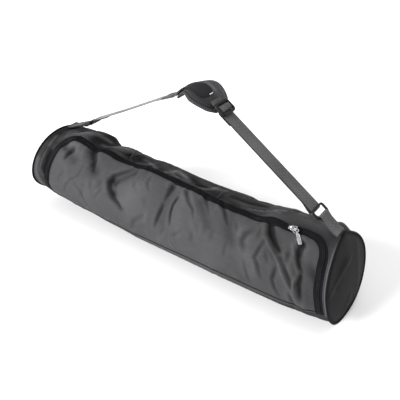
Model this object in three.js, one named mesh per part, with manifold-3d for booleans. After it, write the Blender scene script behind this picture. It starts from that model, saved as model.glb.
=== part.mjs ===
// Yoga mat bag, lying on its side with its strap standing up. Millimetres, +Z up.
// X runs along the bag, -Y is the front with the zip, and Z = 0 is the surface that it lies on.
import * as THREE from "three";
import { mergeVertices } from "three/addons/utils/BufferGeometryUtils.js";
import Module from "manifold-3d";

const wasm = await Module();
wasm.setup();

const { lerp, degToRad, radToDeg, smoothstep } = THREE.MathUtils;

// Tube of cloth
const bagLength = 640;
const tubeRadius = 77;
const wall = 1.5;
const bagMiddleX = 6;
const rightLeanUp = -0.22;
const leftLeanUp = 0.13;
const leftLeanSide = 0.25;

// Gaps between pieces
const clearance = 0.3;
const seamGap = 0.5;

// End discs and the cords sewn round them
const pipingRadius = 2;
const pipingOut = 0.5;
const capBulge = 5;

// Zip: a U that runs up the left end, along the top and down the right end
const zipLeft = -276;
const zipRight = 306;
const zipCorner = 38;
const coilWidth = 5;
const tapeWidth = 4;
const tapeThickness = 1;
const coilRise = 1;

// Webbing, its rings and its slider
const webWidth = 26;
const webThickness = 1.4;
const strapY = 4;
const leftTabY = 16;
const ringBar = 3.5;
const ringThickness = 2.6;
const ringWindow = 12;
const ringSideGap = 1;
const ringSideBar = 3;
const sliderBar = 4;
const sliderMiddleBar = 3;
const sliderSlot = 6.5;
const sliderThickness = 2.5;
const tabSeat = 7;
const foldRun = 3 * ringBar;
const leftTail = 45;
const rightTail = 20;
const slotEdge = 1.3;
const overBar = 2.4;

// Turns of the strap's inner end round the slider's middle bar, along and off its plate
const barTurns = [
  { along: 5.7, off: -3.95 },
  { along: 3.8, off: -0.4 },
  { along: 2.4, off: 2.25 },
  { along: -2.4, off: 2.25 },
  { along: -3.6, off: -0.2 },
  { along: -2.6, off: -2.59 },
  { along: 3, off: -5.65 },
];

// Places of the strap's fittings, in X and Z
const tubeTop = 2 * tubeRadius;
const leftRingPlace = { x: -231, z: tubeTop + 34 };
const rightRingPlace = { x: 267, z: tubeTop + 27 };
const sliderPlace = { x: 86, z: tubeTop + 151.5 };
const leftLegBend = { x: -136, z: tubeTop + 86 };
const leftLegTop = { x: -48, z: tubeTop + 133 };

// Shoulder pad
const padHalfWidth = 34;
const padThickness = 8;
const padEdge = 3;
const padDroop = 7;
const padDrop = 2.4;
const padShift = 4;
const bindingRadius = 2.4;
const patchThickness = 1;
const patchShare = 0.66;
const patchRun = { from: 0.22, to: 0.66 };
const patchLift = 0.7;
const padTip = { x: 0, z: tubeTop + 153 };
const padRise = { length: 42, slope: 48 };
const tongueLength = 24;
const tongueThickness = 2;
const tongueGap = 3;

// Zip slider and its pull
const sliderAlong = 243;
const zipSliderLength = 14;
const zipSliderWidth = 10;
const zipPlate = 1.6;
const bailWidth = 1.8;
const bailWindow = { length: 5, height: 2.4 };
const bailWire = 1.4;
const linkWire = 1.2;
const linkLength = 13;
const linkInside = 6.6;
const linkYaw = -32;
const pullYaw = -22;
const pullLength = 21;
const pullWidth = 5.6;
const pullThickness = 1.4;
const pullDroop = 14;
const pullNeck = 3;
const pullCorner = 1.5;
const eyeWidth = 2.6;
const eyeWall = 1;
const sliderLift = 0.3;
const sliderShape = { nose: 0.6, shoulder: 0.3, skirtLength: 0.6, skirtAt: 0.36, skirt: 1 };

// Cross sections, left to right. at is a share of half the length, the rest are shares of the radius:
// tent draws the top in, and square fills the lower front corner out.
const sections = [
  { at: -1.0, half: 0.97, top: 1.1, under: 0.73, shift: 0.02, tent: 0.05, square: 0.0 },
  { at: -0.8, half: 1.0, top: 1.12, under: 0.84, shift: 0.01, tent: 0.05, square: 0.0 },
  { at: -0.6, half: 1.0, top: 1.06, under: 1.02, shift: 0.0, tent: 0.04, square: -0.03 },
  { at: -0.4, half: 1.0, top: 0.88, under: 1.06, shift: 0.0, tent: 0.03, square: 0.0 },
  { at: -0.2, half: 1.0, top: 0.97, under: 1.08, shift: 0.0, tent: 0.03, square: 0.03 },
  { at: 0.1, half: 1.01, top: 0.89, under: 1.09, shift: 0.0, tent: 0.02, square: 0.02 },
  { at: 0.35, half: 1.01, top: 0.88, under: 1.08, shift: 0.0, tent: 0.02, square: 0.03 },
  { at: 0.52, half: 1.01, top: 0.85, under: 1.06, shift: 0.01, tent: 0.04, square: 0.04 },
  { at: 0.7, half: 1.02, top: 0.95, under: 1.0, shift: 0.03, tent: 0.08, square: 0.07 },
  { at: 0.85, half: 1.02, top: 0.99, under: 0.92, shift: 0.06, tent: 0.18, square: 0.09 },
  { at: 0.93, half: 1.0, top: 1.02, under: 0.87, shift: 0.08, tent: 0.24, square: 0.11 },
  { at: 1.0, half: 0.98, top: 0.94, under: 0.82, shift: 0.09, tent: 0.28, square: 0.12 },
];

// Height of the zip and of the bottom seam round the tube, in degrees up from the front.
const zipLine = [
  { at: -1.0, angle: 70 },
  { at: -0.66, angle: 76 },
  { at: -0.5, angle: 80 },
  { at: -0.4, angle: 83 },
  { at: -0.2, angle: 81 },
  { at: 0.1, angle: 80 },
  { at: 0.3, angle: 76 },
  { at: 0.6, angle: 75 },
  { at: 0.8, angle: 71 },
  { at: 1.0, angle: 67 },
];
const seamLine = [
  { at: -1.0, angle: -44 },
  { at: 0.2, angle: -43 },
  { at: 0.5, angle: -36 },
  { at: 0.8, angle: -31 },
  { at: 1.0, angle: -25 },
];

// Folds: a run from one place to another (at, angle), with its width and lift as shares of the radius.
const folds = [
  { name: "left_pinch", at: -0.83, angle: 60, toAt: -0.7, toAngle: 46, width: 0.13, lift: -0.07 },
  { name: "left_wedge", at: -0.66, angle: 70, toAt: -0.53, toAngle: 44, width: 0.15, lift: -0.08 },
  { name: "curl_top", at: -0.3, angle: 68, toAt: -0.39, toAngle: 46, width: 0.14, lift: -0.08 },
  { name: "curl_side", at: -0.39, angle: 46, toAt: -0.36, toAngle: 26, width: 0.13, lift: -0.08 },
  { name: "curl_foot", at: -0.36, angle: 26, toAt: -0.27, toAngle: 8, width: 0.12, lift: -0.06 },
  { name: "curl_belly", at: -0.2, angle: 50, toAt: -0.24, toAngle: 24, width: 0.3, lift: 0.05 },
  { name: "middle_drape", at: 0.0, angle: 68, toAt: 0.01, toAngle: 18, width: 0.13, lift: -0.05 },
  { name: "middle_swell", at: 0.1, angle: 62, toAt: 0.14, toAngle: 16, width: 0.26, lift: 0.04 },
  { name: "slant_drape", at: 0.2, angle: 68, toAt: 0.3, toAngle: 40, width: 0.12, lift: -0.05 },
  { name: "right_drape", at: 0.38, angle: 66, toAt: 0.47, toAngle: 34, width: 0.14, lift: -0.05 },
  { name: "right_swell", at: 0.52, angle: 50, toAt: 0.6, toAngle: 6, width: 0.26, lift: 0.05 },
  { name: "right_crease", at: 0.66, angle: 60, toAt: 0.74, toAngle: 34, width: 0.13, lift: -0.07 },
  { name: "end_ridge", at: 0.76, angle: 30, toAt: 0.88, toAngle: -18, width: 0.13, lift: 0.05 },
  { name: "end_crease", at: 0.84, angle: 42, toAt: 0.87, toAngle: -8, width: 0.1, lift: -0.05 },
  { name: "shoulder_crest", at: -0.83, angle: 70, toAt: -0.72, toAngle: 128, width: 0.28, lift: 0.08 },
  { name: "shoulder_dip", at: -0.62, angle: 84, toAt: -0.55, toAngle: 150, width: 0.25, lift: -0.07 },
  { name: "top_crease", at: -0.45, angle: 100, toAt: -0.1, toAngle: 88, width: 0.14, lift: -0.05 },
  { name: "top_swell", at: -0.3, angle: 112, toAt: 0.1, toAngle: 106, width: 0.22, lift: 0.04 },
  { name: "top_drape", at: 0.05, angle: 98, toAt: 0.38, toAngle: 82, width: 0.14, lift: -0.05 },
  { name: "tab_ridge", at: 0.62, angle: 88, toAt: 0.98, toAngle: 96, width: 0.22, lift: 0.07 },
  { name: "back_crease", at: -0.2, angle: 150, toAt: 0.15, toAngle: 172, width: 0.18, lift: -0.06 },
  { name: "back_drape", at: 0.4, angle: 130, toAt: 0.52, toAngle: 186, width: 0.16, lift: -0.06 },
  { name: "back_swell", at: -0.5, angle: 160, toAt: -0.3, toAngle: 196, width: 0.26, lift: 0.04 },
  { name: "back_end", at: 0.78, angle: 140, toAt: 0.84, toAngle: 200, width: 0.16, lift: -0.06 },
];

// Half width of the shoulder pad from its left tip to its right end, as shares.
const padOutline = [
  { at: 0.0, half: 0.14 },
  { at: 0.2, half: 0.56 },
  { at: 0.45, half: 0.94 },
  { at: 0.65, half: 1.0 },
  { at: 0.85, half: 0.8 },
  { at: 1.0, half: 0.5 },
];

// How finely the walls are drawn
const cornerSteps = 3;
const topColumns = 34;
const legRows = 9;
const backRows = 19;
const leftGussetColumns = 2;
const rightGussetColumns = 1;
const capSpokes = 36;
const capRings = 4;
const bendSteps = 6;

// Materials
const cloth = new THREE.MeshStandardMaterial({ color: 0x3b3b3d, roughness: 0.85, metalness: 0 });
const darkCloth = new THREE.MeshStandardMaterial({ color: 0x29292b, roughness: 0.9, metalness: 0 });
const webbing = new THREE.MeshStandardMaterial({ color: 0x55555a, roughness: 0.8, metalness: 0 });
const blackTape = new THREE.MeshStandardMaterial({ color: 0x141416, roughness: 0.8, metalness: 0 });
const blackPlastic = new THREE.MeshStandardMaterial({ color: 0x161618, roughness: 0.45, metalness: 0 });
const nickel = new THREE.MeshStandardMaterial({ color: 0xc8c8cc, roughness: 0.25, metalness: 1 });

const halfLength = bagLength / 2;
const zipEdge = coilWidth / 2 + clearance + tapeWidth + clearance;

// A length round the tube as an angle in degrees.
const asAngle = (length) => radToDeg(length / tubeRadius);

// A column of a table at a place between its rows, eased from row to row.
function tableValue(table, column, at) {
  const last = table.length - 1;
  const next = table.findIndex((row) => row.at >= at);
  if (next === 0 || at <= table[0].at) return table[0][column];
  if (next < 0) return table[last][column];
  const before = table[next - 1];
  const after = table[next];
  return lerp(before[column], after[column], smoothstep(at, before.at, after.at));
}

// How far the folds lift the cloth at a place on the tube.
function foldLift(along, angle) {
  let lift = 0;
  for (const fold of folds) {
    const from = new THREE.Vector2(fold.at * halfLength, tubeRadius * degToRad(fold.angle));
    const to = new THREE.Vector2(fold.toAt * halfLength, tubeRadius * degToRad(fold.toAngle));
    const here = new THREE.Vector2(along, tubeRadius * degToRad(angle));
    const run = to.clone().sub(from);
    const share = THREE.MathUtils.clamp(here.clone().sub(from).dot(run) / run.lengthSq(), 0, 1);
    const away = here.distanceTo(from.add(run.multiplyScalar(share)));
    lift += fold.lift * tubeRadius * Math.exp(-((away / (fold.width * tubeRadius)) ** 2));
  }
  return lift;
}

// A point of the tube: along its axis, round it from the front over the top, and so deep in the wall.
function bagPoint(along, angle, depth) {
  const at = along / halfLength;
  const part = (column) => tableValue(sections, column, at);
  const cos = Math.cos(degToRad(angle));
  const sin = Math.sin(degToRad(angle));
  const corner = sin < 0 && cos > 0 ? 1 + part("square") * (2 * sin * cos) ** 2 : 1;
  const half = tubeRadius * part("half") * (1 - part("tent") * Math.max(sin, 0) ** 2) * corner;
  const height = tubeRadius * part(sin > 0 ? "top" : "under") * corner;
  const normal = new THREE.Vector2(-cos * height, sin * half).normalize();
  const out = foldLift(along, angle) - depth;
  const y = tubeRadius * part("shift") - half * cos + normal.x * out;
  const z = Math.max(tubeRadius + height * sin + normal.y * out, depth);
  const rightEnd = smoothstep(at, 0.1, 1);
  const leftEnd = smoothstep(-at, 0.1, 1);
  const up = (rightEnd * rightLeanUp + leftEnd * leftLeanUp) * (z - tubeRadius);
  const side = leftEnd * leftLeanSide * y;
  return new THREE.Vector3(bagMiddleX + along + up + side, y, z);
}

function geometryOf(positions, triangles) {
  const geometry = new THREE.BufferGeometry();
  geometry.setAttribute("position", new THREE.Float32BufferAttribute(positions, 3));
  geometry.setIndex(triangles);
  return geometry;
}

// A closed wall over a grid of cells. pointAt(column, row, layer) gives its outer (0) and inner (1) points,
// keep tells which cells are there, and ring joins the last row to the first.
function wallSolid(columns, rows, pointAt, keep = () => true, ring = false) {
  const rowPoints = ring ? rows : rows + 1;
  const positions = [];
  const triangles = [];
  for (let i = 0; i <= columns; i++)
    for (let j = 0; j < rowPoints; j++)
      for (const layer of [0, 1]) positions.push(...pointAt(i, j, layer).toArray());
  const id = (i, j, layer) => 2 * (i * rowPoints + (j % rowPoints)) + layer;
  const quad = (a, b, c, d) => triangles.push(a, b, c, a, c, d);
  const there = (i, j) => {
    const row = ring ? (j + rows) % rows : j;
    return i >= 0 && i < columns && row >= 0 && row < rows && keep(i, row);
  };
  const rim = (i, j, k, l) => quad(id(i, j, 1), id(k, l, 1), id(k, l, 0), id(i, j, 0));
  for (let i = 0; i < columns; i++)
    for (let j = 0; j < rows; j++) {
      if (!there(i, j)) continue;
      quad(id(i, j, 0), id(i + 1, j, 0), id(i + 1, j + 1, 0), id(i, j + 1, 0));
      quad(id(i, j + 1, 1), id(i + 1, j + 1, 1), id(i + 1, j, 1), id(i, j, 1));
      if (!there(i, j - 1)) rim(i, j, i + 1, j);
      if (!there(i + 1, j)) rim(i + 1, j, i + 1, j + 1);
      if (!there(i, j + 1)) rim(i + 1, j + 1, i, j + 1);
      if (!there(i - 1, j)) rim(i, j + 1, i, j);
    }
  return geometryOf(positions, triangles);
}

// A closed hoop: spokes round it, each with the sides of its cross section.
function hoopSolid(spokes, sides, pointAt) {
  const positions = [];
  const triangles = [];
  for (let i = 0; i < spokes; i++)
    for (let j = 0; j < sides; j++) positions.push(...pointAt(i, j).toArray());
  const id = (i, j) => (i % spokes) * sides + (j % sides);
  for (let i = 0; i < spokes; i++)
    for (let j = 0; j < sides; j++)
      triangles.push(id(i, j), id(i + 1, j), id(i + 1, j + 1), id(i, j), id(i + 1, j + 1), id(i, j + 1));
  return geometryOf(positions, triangles);
}

// A closed disc: rings of spokes round a middle point, on two layers.
function discSolid(rings, spokes, pointAt) {
  const positions = [];
  const triangles = [];
  for (const layer of [0, 1]) {
    positions.push(...pointAt(0, 0, layer).toArray());
    for (let i = 1; i <= rings; i++)
      for (let j = 0; j < spokes; j++) positions.push(...pointAt(i, j, layer).toArray());
  }
  const layerPoints = 1 + rings * spokes;
  const id = (i, j, layer) => layer * layerPoints + (i === 0 ? 0 : 1 + (i - 1) * spokes + (j % spokes));
  for (let j = 0; j < spokes; j++) {
    triangles.push(id(0, 0, 0), id(1, j, 0), id(1, j + 1, 0));
    triangles.push(id(0, 0, 1), id(1, j + 1, 1), id(1, j, 1));
    for (let i = 1; i < rings; i++) {
      const [a, b, c, d] = [id(i, j, 0), id(i + 1, j, 0), id(i + 1, j + 1, 0), id(i, j + 1, 0)];
      const [e, f, g, h] = [id(i, j, 1), id(i + 1, j, 1), id(i + 1, j + 1, 1), id(i, j + 1, 1)];
      triangles.push(a, b, c, a, c, d, g, f, e, h, g, e);
    }
    const [k, l, m, n] = [id(rings, j, 0), id(rings, j, 1), id(rings, j + 1, 1), id(rings, j + 1, 0)];
    triangles.push(k, l, m, k, m, n);
  }
  return geometryOf(positions, triangles);
}

function flipped(geometry) {
  const index = geometry.index.array;
  for (let i = 0; i < index.length; i += 3) [index[i + 1], index[i + 2]] = [index[i + 2], index[i + 1]];
  return geometry;
}

// The zip's course over the top with both corners, moved outwards by an offset.
function zipTop(offset) {
  const left = zipLeft + zipCorner;
  const right = zipRight - zipCorner;
  const lineAt = (along) => tableValue(zipLine, "angle", along / halfLength);
  const arc = (middle, side, turn) => ({
    along: middle + side * (zipCorner + offset) * Math.cos(turn),
    angle: lineAt(middle) - asAngle(zipCorner) + asAngle((zipCorner + offset) * Math.sin(turn)),
  });
  const course = [];
  for (let i = 0; i < cornerSteps; i++) course.push(arc(left, -1, (i / cornerSteps) * (Math.PI / 2)));
  for (let i = 0; i <= topColumns; i++) {
    const along = lerp(left, right, i / topColumns);
    course.push({ along, angle: lineAt(along) + asAngle(offset) });
  }
  for (let i = cornerSteps - 1; i >= 0; i--) course.push(arc(right, 1, (i / cornerSteps) * (Math.PI / 2)));
  return course;
}

const seamAngle = (along) => tableValue(seamLine, "angle", along / halfLength);

// The zip's whole course, with the legs down to the bottom seam at both ends.
function zipCourse(offset) {
  const top = zipTop(offset);
  const leg = (end) => {
    const foot = seamAngle(end.along) + asAngle(seamGap);
    const step = (i) => ({ along: end.along, angle: lerp(foot, end.angle, i / legRows) });
    return Array.from({ length: legRows }, (_, i) => step(i));
  };
  return [...leg(top[0]), ...top, ...leg(top[top.length - 1]).reverse()];
}

function zipRibbon(inner, outer, high, low) {
  const near = zipCourse(inner);
  const far = zipCourse(outer);
  const pointAt = (i, j, layer) => {
    const place = j ? far[i] : near[i];
    return bagPoint(place.along, place.angle, layer ? low : high);
  };
  return wallSolid(near.length - 1, 1, pointAt);
}

function frontPanel() {
  const top = zipTop(-zipEdge);
  const pointAt = (i, j, layer) => {
    const { along, angle } = top[i];
    const foot = seamAngle(along) + asAngle(seamGap);
    return bagPoint(along, lerp(foot, angle, j / legRows), layer * wall);
  };
  return wallSolid(top.length - 1, legRows, pointAt);
}

// The rest of the tube: closed rings at both ends, open in front between them.
function backPanel() {
  const top = zipTop(zipEdge);
  const shellEnd = halfLength - pipingRadius - clearance;
  const gusset = (from, to, count, angle) =>
    Array.from({ length: count }, (_, i) => ({ along: lerp(from, to, i / count), angle }));
  const leftGusset = gusset(-shellEnd, top[0].along, leftGussetColumns, top[0].angle);
  const last = top[top.length - 1];
  const rightGusset = gusset(shellEnd, last.along, rightGussetColumns, last.angle).reverse();
  const course = [...leftGusset, ...top, ...rightGusset];
  const columns = course.length - 1;
  const pointAt = (i, j, layer) => {
    const { along, angle } = course[i];
    const seam = seamAngle(along);
    const over = lerp(angle, seam + 360, (j - legRows) / backRows);
    return bagPoint(along, j < legRows ? lerp(seam, angle, j / legRows) : over, layer * wall);
  };
  const keep = (i, j) => j >= legRows || i < leftGussetColumns || i >= columns - rightGussetColumns;
  return wallSolid(columns, legRows + backRows, pointAt, keep, true);
}

// End disc: side is -1 at the left and 1 at the right.
function endCap(side) {
  const rimDepth = pipingRadius - pipingOut + clearance;
  const rimAt = (spoke) => bagPoint(side * halfLength, (360 * spoke) / capSpokes, rimDepth);
  const middle = rimAt(0).add(rimAt(capSpokes / 2)).multiplyScalar(0.5);
  const pointAt = (ring, spoke, layer) => {
    const share = ring / capRings;
    const point = middle.clone().lerp(rimAt(spoke), share);
    point.x += side * (capBulge * (1 - share ** 2) + (layer ? -wall / 2 : wall / 2));
    return point;
  };
  const disc = discSolid(capRings, capSpokes, pointAt);
  return side > 0 ? flipped(disc) : disc;
}

function piping(side) {
  const sides = 6;
  const pointAt = (spoke, corner) => {
    const turn = (2 * Math.PI * corner) / sides;
    const depth = -pipingOut - pipingRadius * Math.cos(turn);
    const point = bagPoint(side * halfLength, (360 * spoke) / capSpokes, depth);
    point.x += side * pipingRadius * Math.sin(turn);
    return point;
  };
  const hoop = hoopSolid(capSpokes, sides, pointAt);
  return side > 0 ? flipped(hoop) : hoop;
}

// The strap leans back towards the left ring.
const strapSide = (x) => lerp(strapY, leftTabY, THREE.MathUtils.clamp(x / leftRingPlace.x, 0, 1));

// Webbing that follows a route in the strap's upright plane; each route point is (x, z).
function webbingSolid(route, width = webWidth, thickness = webThickness) {
  const normals = route.map((point, i) => {
    const before = route[Math.max(i - 1, 0)];
    const after = route[Math.min(i + 1, route.length - 1)];
    const into = point.clone().sub(before).normalize();
    const out = after.clone().sub(point).normalize();
    const along = into.clone().add(out).normalize();
    const stretch = 1 / Math.max(along.dot(i ? into : out), 0.5);
    return new THREE.Vector2(-along.y, along.x).multiplyScalar(stretch * (thickness / 2));
  });
  const pointAt = (i, j, layer) => {
    const place = route[i].clone().addScaledVector(normals[i], layer ? -1 : 1);
    return new THREE.Vector3(place.x, strapSide(place.x) + (j - 0.5) * width, place.y);
  };
  return wallSolid(route.length - 1, 1, pointAt);
}

// Turns places along and off a line into places in the strap's plane.
function lineFrame(start, toward) {
  const along = new THREE.Vector2(toward.x - start.x, toward.z - start.z).normalize();
  const off = new THREE.Vector2(-along.y, along.x);
  return (a, b) => new THREE.Vector2(start.x, start.z).addScaledVector(along, a).addScaledVector(off, b);
}

const distance = (a, b) => Math.hypot(a.x - b.x, a.z - b.z);
const loopRadius = Math.hypot(ringBar, ringThickness) / 2 + clearance + webThickness / 2;
const ringReach = ringWindow / 2 + ringBar / 2;
const layerStep = webThickness + clearance;

// A half turn round a bar, from the upper side to the lower side of a line frame.
function halfTurn(frame, a, b, radius, forward = 1) {
  return Array.from({ length: bendSteps + 1 }, (_, i) => {
    const turn = (Math.PI * i) / bendSteps;
    return frame(a + forward * radius * Math.sin(turn), b + radius * Math.cos(turn));
  });
}

const flat = (point) => new THREE.Vector2(point.x, point.z);

// The places on the cloth where a tab is sewn down beside the piping.
function tabFeet(side) {
  const edge = side * (halfLength - pipingRadius - clearance - pipingRadius);
  const middle = tubeRadius * sections[side < 0 ? 0 : sections.length - 1].shift;
  const turn = 90 + asAngle((side < 0 ? leftTabY : strapY) - middle);
  const foot = (back) => {
    const place = (end) => bagPoint(edge - side * back, turn + end * asAngle(webWidth / 2), 0);
    const top = Math.max(place(-1).z, place(0).z, place(1).z);
    return new THREE.Vector2(place(0).x, top + (layerStep + webThickness) / 2 + clearance);
  };
  return [foot(0), foot(tabSeat)];
}

// Webbing folded round the ring's lower bar, with both ends in the end seam.
function tab(side, ringPlace, strapTo) {
  const strapFrame = lineFrame(ringPlace, strapTo);
  const bar = strapFrame(-ringReach, 0);
  const [edge, foot] = tabFeet(side);
  const frame = lineFrame({ x: foot.x, z: foot.y }, { x: bar.x, z: bar.y });
  const reach = foot.distanceTo(bar);
  const apart = layerStep / 2;
  const upper = side < 0 ? 1 : -1;
  const shift = new THREE.Vector2(0, apart);
  const route = [
    edge.clone().add(shift),
    foot.clone().add(shift),
    frame(reach - foldRun, upper * apart),
    ...halfTurn((a, b) => frame(a, upper * b), reach, 0, loopRadius),
    frame(reach - foldRun, -upper * apart),
    foot.clone().sub(shift),
    edge.clone().sub(shift),
  ];
  return webbingSolid(route);
}

// A flat frame with windows, cut from a plate with rounded corners, lying across the strap.
function plateFrame(length, width, windows, thickness, place, toward) {
  const shape = roundedPlate(0, 0, length, width, ringBar / 2);
  for (const hole of windows) shape.holes.push(roundedPlate(hole.at, 0, hole.length, hole.width, 0.8));
  const options = { depth: thickness, bevelEnabled: false, curveSegments: 3 };
  const geometry = new THREE.ExtrudeGeometry(shape, options).translate(0, 0, -thickness / 2);
  const turn = Math.atan2(toward.z - place.z, toward.x - place.x);
  return geometry.rotateY(-turn).translate(place.x, strapSide(place.x), place.z);
}

function roundedPlate(x, y, length, width, corner) {
  const shape = new THREE.Shape();
  const [a, b] = [length / 2, width / 2];
  const arc = (side, end, from) =>
    shape.absarc(x + side * (a - corner), y + end * (b - corner), corner, from, from + Math.PI / 2);
  arc(1, 1, 0);
  arc(-1, 1, Math.PI / 2);
  arc(-1, -1, Math.PI);
  arc(1, -1, Math.PI * 1.5);
  return shape;
}

function ring(place, toward) {
  const inside = webWidth + 2 * ringSideGap;
  const length = ringWindow + 2 * ringBar;
  const windows = [{ at: 0, length: ringWindow, width: inside }];
  return plateFrame(length, inside + 2 * ringSideBar, windows, ringThickness, place, toward);
}

function triGlide() {
  const inside = webWidth + 2 * ringSideGap;
  const pitch = sliderMiddleBar / 2 + sliderSlot / 2;
  const length = sliderMiddleBar + 2 * sliderSlot + 2 * sliderBar;
  const windows = [-pitch, pitch].map((at) => ({ at, length: sliderSlot, width: inside }));
  const width = inside + 2 * ringSideBar;
  return plateFrame(length, width, windows, sliderThickness, sliderPlace, rightRingPlace);
}

// Left strap: folded round the ring's upper bar, then up the left side onto the pad's tip.
function leftStrap() {
  const frame = lineFrame(leftRingPlace, leftLegBend);
  const onPad = padThickness / 2 + clearance + webThickness / 2;
  const start = frame(ringReach + foldRun, loopRadius);
  const leg = lineFrame({ x: start.x, z: start.y }, leftLegBend);
  return webbingSolid([
    leg(leftTail, -layerStep),
    leg(0, -layerStep),
    ...halfTurn(frame, ringReach, 0, loopRadius, -1).reverse(),
    start,
    new THREE.Vector2(leftLegBend.x, leftLegBend.z),
    new THREE.Vector2(leftLegTop.x, leftLegTop.z),
    strapTip(),
    ...[1, 2].map((column) => flat(padPoint(column / padColumns, 0, onPad))),
  ]);
}

// Where the left strap first lies on the pad's edge.
const strapTip = () => flat(padPoint(-0.04, 0, bindingRadius + clearance + webThickness / 2));

// Right strap: one length from the pad through the tri-glide, round the ring and back to the middle bar.
function rightStrap() {
  const frame = lineFrame(sliderPlace, rightRingPlace);
  const leg = distance(sliderPlace, rightRingPlace) - ringReach;
  const under = (layer) => -(sliderThickness / 2 + clearance + webThickness / 2 + layer * layerStep);
  const bar = sliderMiddleBar / 2;
  const slot = sliderSlotEnd;
  const onPad = padThickness / 2 + clearance + webThickness / 2;
  const rise = slot - webThickness / 2;
  return webbingSolid([
    ...[8, 9, 10].map((column) => flat(padPoint(column / padColumns, 0, onPad))),
    frame(-slot - 2 * sliderBar, under(0)),
    frame(-rise, under(0)),
    frame(-rise + slotEdge, 0),
    frame(-bar - overBar, -under(1)),
    frame(bar + overBar, -under(1)),
    frame(rise - slotEdge, 0),
    frame(rise, under(0)),
    frame(slot + foldRun, under(0)),
    frame(leg - foldRun, under(0)),
    ...halfTurn(frame, leg, under(0) - loopRadius, loopRadius),
    frame(leg - 2 * foldRun, under(1)),
    frame(slot + slotEdge, under(1)),
    ...barTurns.map((turn) => frame(turn.along, turn.off)),
    frame(slot + rightTail, under(2)),
  ]);
}

// The pad ends under the strap at the tri-glide's upper bar.
const sliderSlotEnd = sliderMiddleBar / 2 + sliderSlot;
const stackUnder = sliderThickness / 2 + layerStep + 2 * clearance + bindingRadius + padDrop;
const padEnd = lineFrame(sliderPlace, rightRingPlace)(-sliderSlotEnd - sliderBar / 2, -stackUnder);

// The pad's middle line, and a point at a share of its length, so far to the side and so far off it.
const padCurve = new THREE.CubicBezierCurve3(
  new THREE.Vector3(padTip.x, strapY, padTip.z),
  new THREE.Vector3(
    padTip.x + padRise.length * Math.cos(degToRad(padRise.slope)),
    strapY,
    padTip.z + padRise.length * Math.sin(degToRad(padRise.slope)),
  ),
  new THREE.Vector3(
    padEnd.x - padRise.length * Math.cos(degToRad(padRise.slope)),
    strapY,
    padEnd.y + padRise.length * Math.sin(degToRad(padRise.slope)),
  ),
  new THREE.Vector3(padEnd.x, strapY, padEnd.y),
);

function padPoint(at, side, off) {
  const tangent = padCurve.getTangent(THREE.MathUtils.clamp(at, 0, 1));
  const up = new THREE.Vector3(-tangent.z, 0, tangent.x);
  const droop = padDroop * (side / padHalfWidth) ** 2;
  const point = padCurve.getPoint(at).addScaledVector(up, off - droop);
  point.y += padShift + side;
  return point;
}

const padHalf = (at) => padHalfWidth * tableValue(padOutline, "half", at);
const padColumns = 12;
const padRows = 6;

function padBody() {
  const pointAt = (i, j, layer) => {
    const at = i / padColumns;
    const across = (2 * j) / padRows - 1;
    const full = (1 - across ** 2) * Math.min(1, 4 * at, 4 * (1 - at));
    const thick = lerp(padEdge, padThickness, Math.sqrt(Math.max(full, 0)));
    return padPoint(at, padHalf(at) * across, layer ? -thick / 2 : thick / 2);
  };
  return wallSolid(padColumns, padRows, pointAt);
}

function padPatch() {
  const columns = 8;
  const rows = 4;
  const pointAt = (i, j, layer) => {
    const at = lerp(patchRun.from, patchRun.to, i / columns);
    const across = patchShare * ((2 * j) / rows - 1);
    const full = Math.min(1, 4 * at, 4 * (1 - at));
    const thick = lerp(padEdge, padThickness, Math.sqrt((1 - across ** 2) * full));
    const off = thick / 2 + patchLift + (layer ? 0 : patchThickness);
    return padPoint(at, padHalf(at) * across, off);
  };
  return wallSolid(columns, rows, pointAt);
}

// A bound edge all round the pad.
function padBinding() {
  const length = padCurve.getLength();
  const edge = [];
  for (let i = 0; i <= padColumns; i++) edge.push({ at: i / padColumns, side: -padHalf(i / padColumns) });
  for (let i = padColumns; i >= 0; i--) edge.push({ at: i / padColumns, side: padHalf(i / padColumns) });
  const count = edge.length;
  const outline = edge.map((place) => new THREE.Vector2(place.at * length, place.side));
  const sides = 6;
  const pointAt = (i, j) => {
    const into = outline[i].clone().sub(outline[(i + count - 1) % count]).normalize();
    const out = outline[(i + 1) % count].clone().sub(outline[i]).normalize();
    const run = into.clone().add(out).normalize();
    const miter = 1 / Math.max(run.dot(into), 0.7);
    const turn = (2 * Math.PI * j) / sides;
    const reach = miter * (seamGap + bindingRadius) + bindingRadius * Math.cos(turn);
    const place = outline[i].clone().add(new THREE.Vector2(run.y, -run.x).multiplyScalar(reach));
    return padPoint(place.x / length, place.y, bindingRadius * Math.sin(turn));
  };
  return hoopSolid(count, sides, pointAt);
}

// A sleeve of cloth over the strap where it meets the pad's tip.
function padTongue() {
  const tip = strapTip();
  const frame = lineFrame(leftLegTop, { x: tip.x, z: tip.y });
  const reach = tip.distanceTo(new THREE.Vector2(leftLegTop.x, leftLegTop.z)) - tongueGap;
  const off = webThickness / 2 + clearance + tongueThickness / 2;
  const route = [0, 0.5, 1].map((share) => frame(reach - tongueLength * (1 - share), off));
  return webbingSolid(route, webWidth + 2, tongueThickness);
}

// A mesh's shape as a solid that can be joined with others.
function solidOf(geometry) {
  const bare = geometry.clone();
  bare.deleteAttribute("normal");
  bare.deleteAttribute("uv");
  const merged = mergeVertices(bare, 1e-4);
  const mesh = new wasm.Mesh({
    numProp: 3,
    vertProperties: merged.attributes.position.array,
    triVerts: new Uint32Array(merged.index.array),
  });
  return new wasm.Manifold(mesh);
}

function joined(geometries) {
  const mesh = geometries.map(solidOf).reduce((a, b) => a.add(b)).getMesh();
  return geometryOf(mesh.vertProperties, new THREE.BufferAttribute(mesh.triVerts, 1));
}

// Slider body: a shaped top plate with sides that straddle the coil, and a bail with a window.
const bailHeight = bailWindow.height + bailWire;
const bailRoot = zipPlate / 3;

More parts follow.
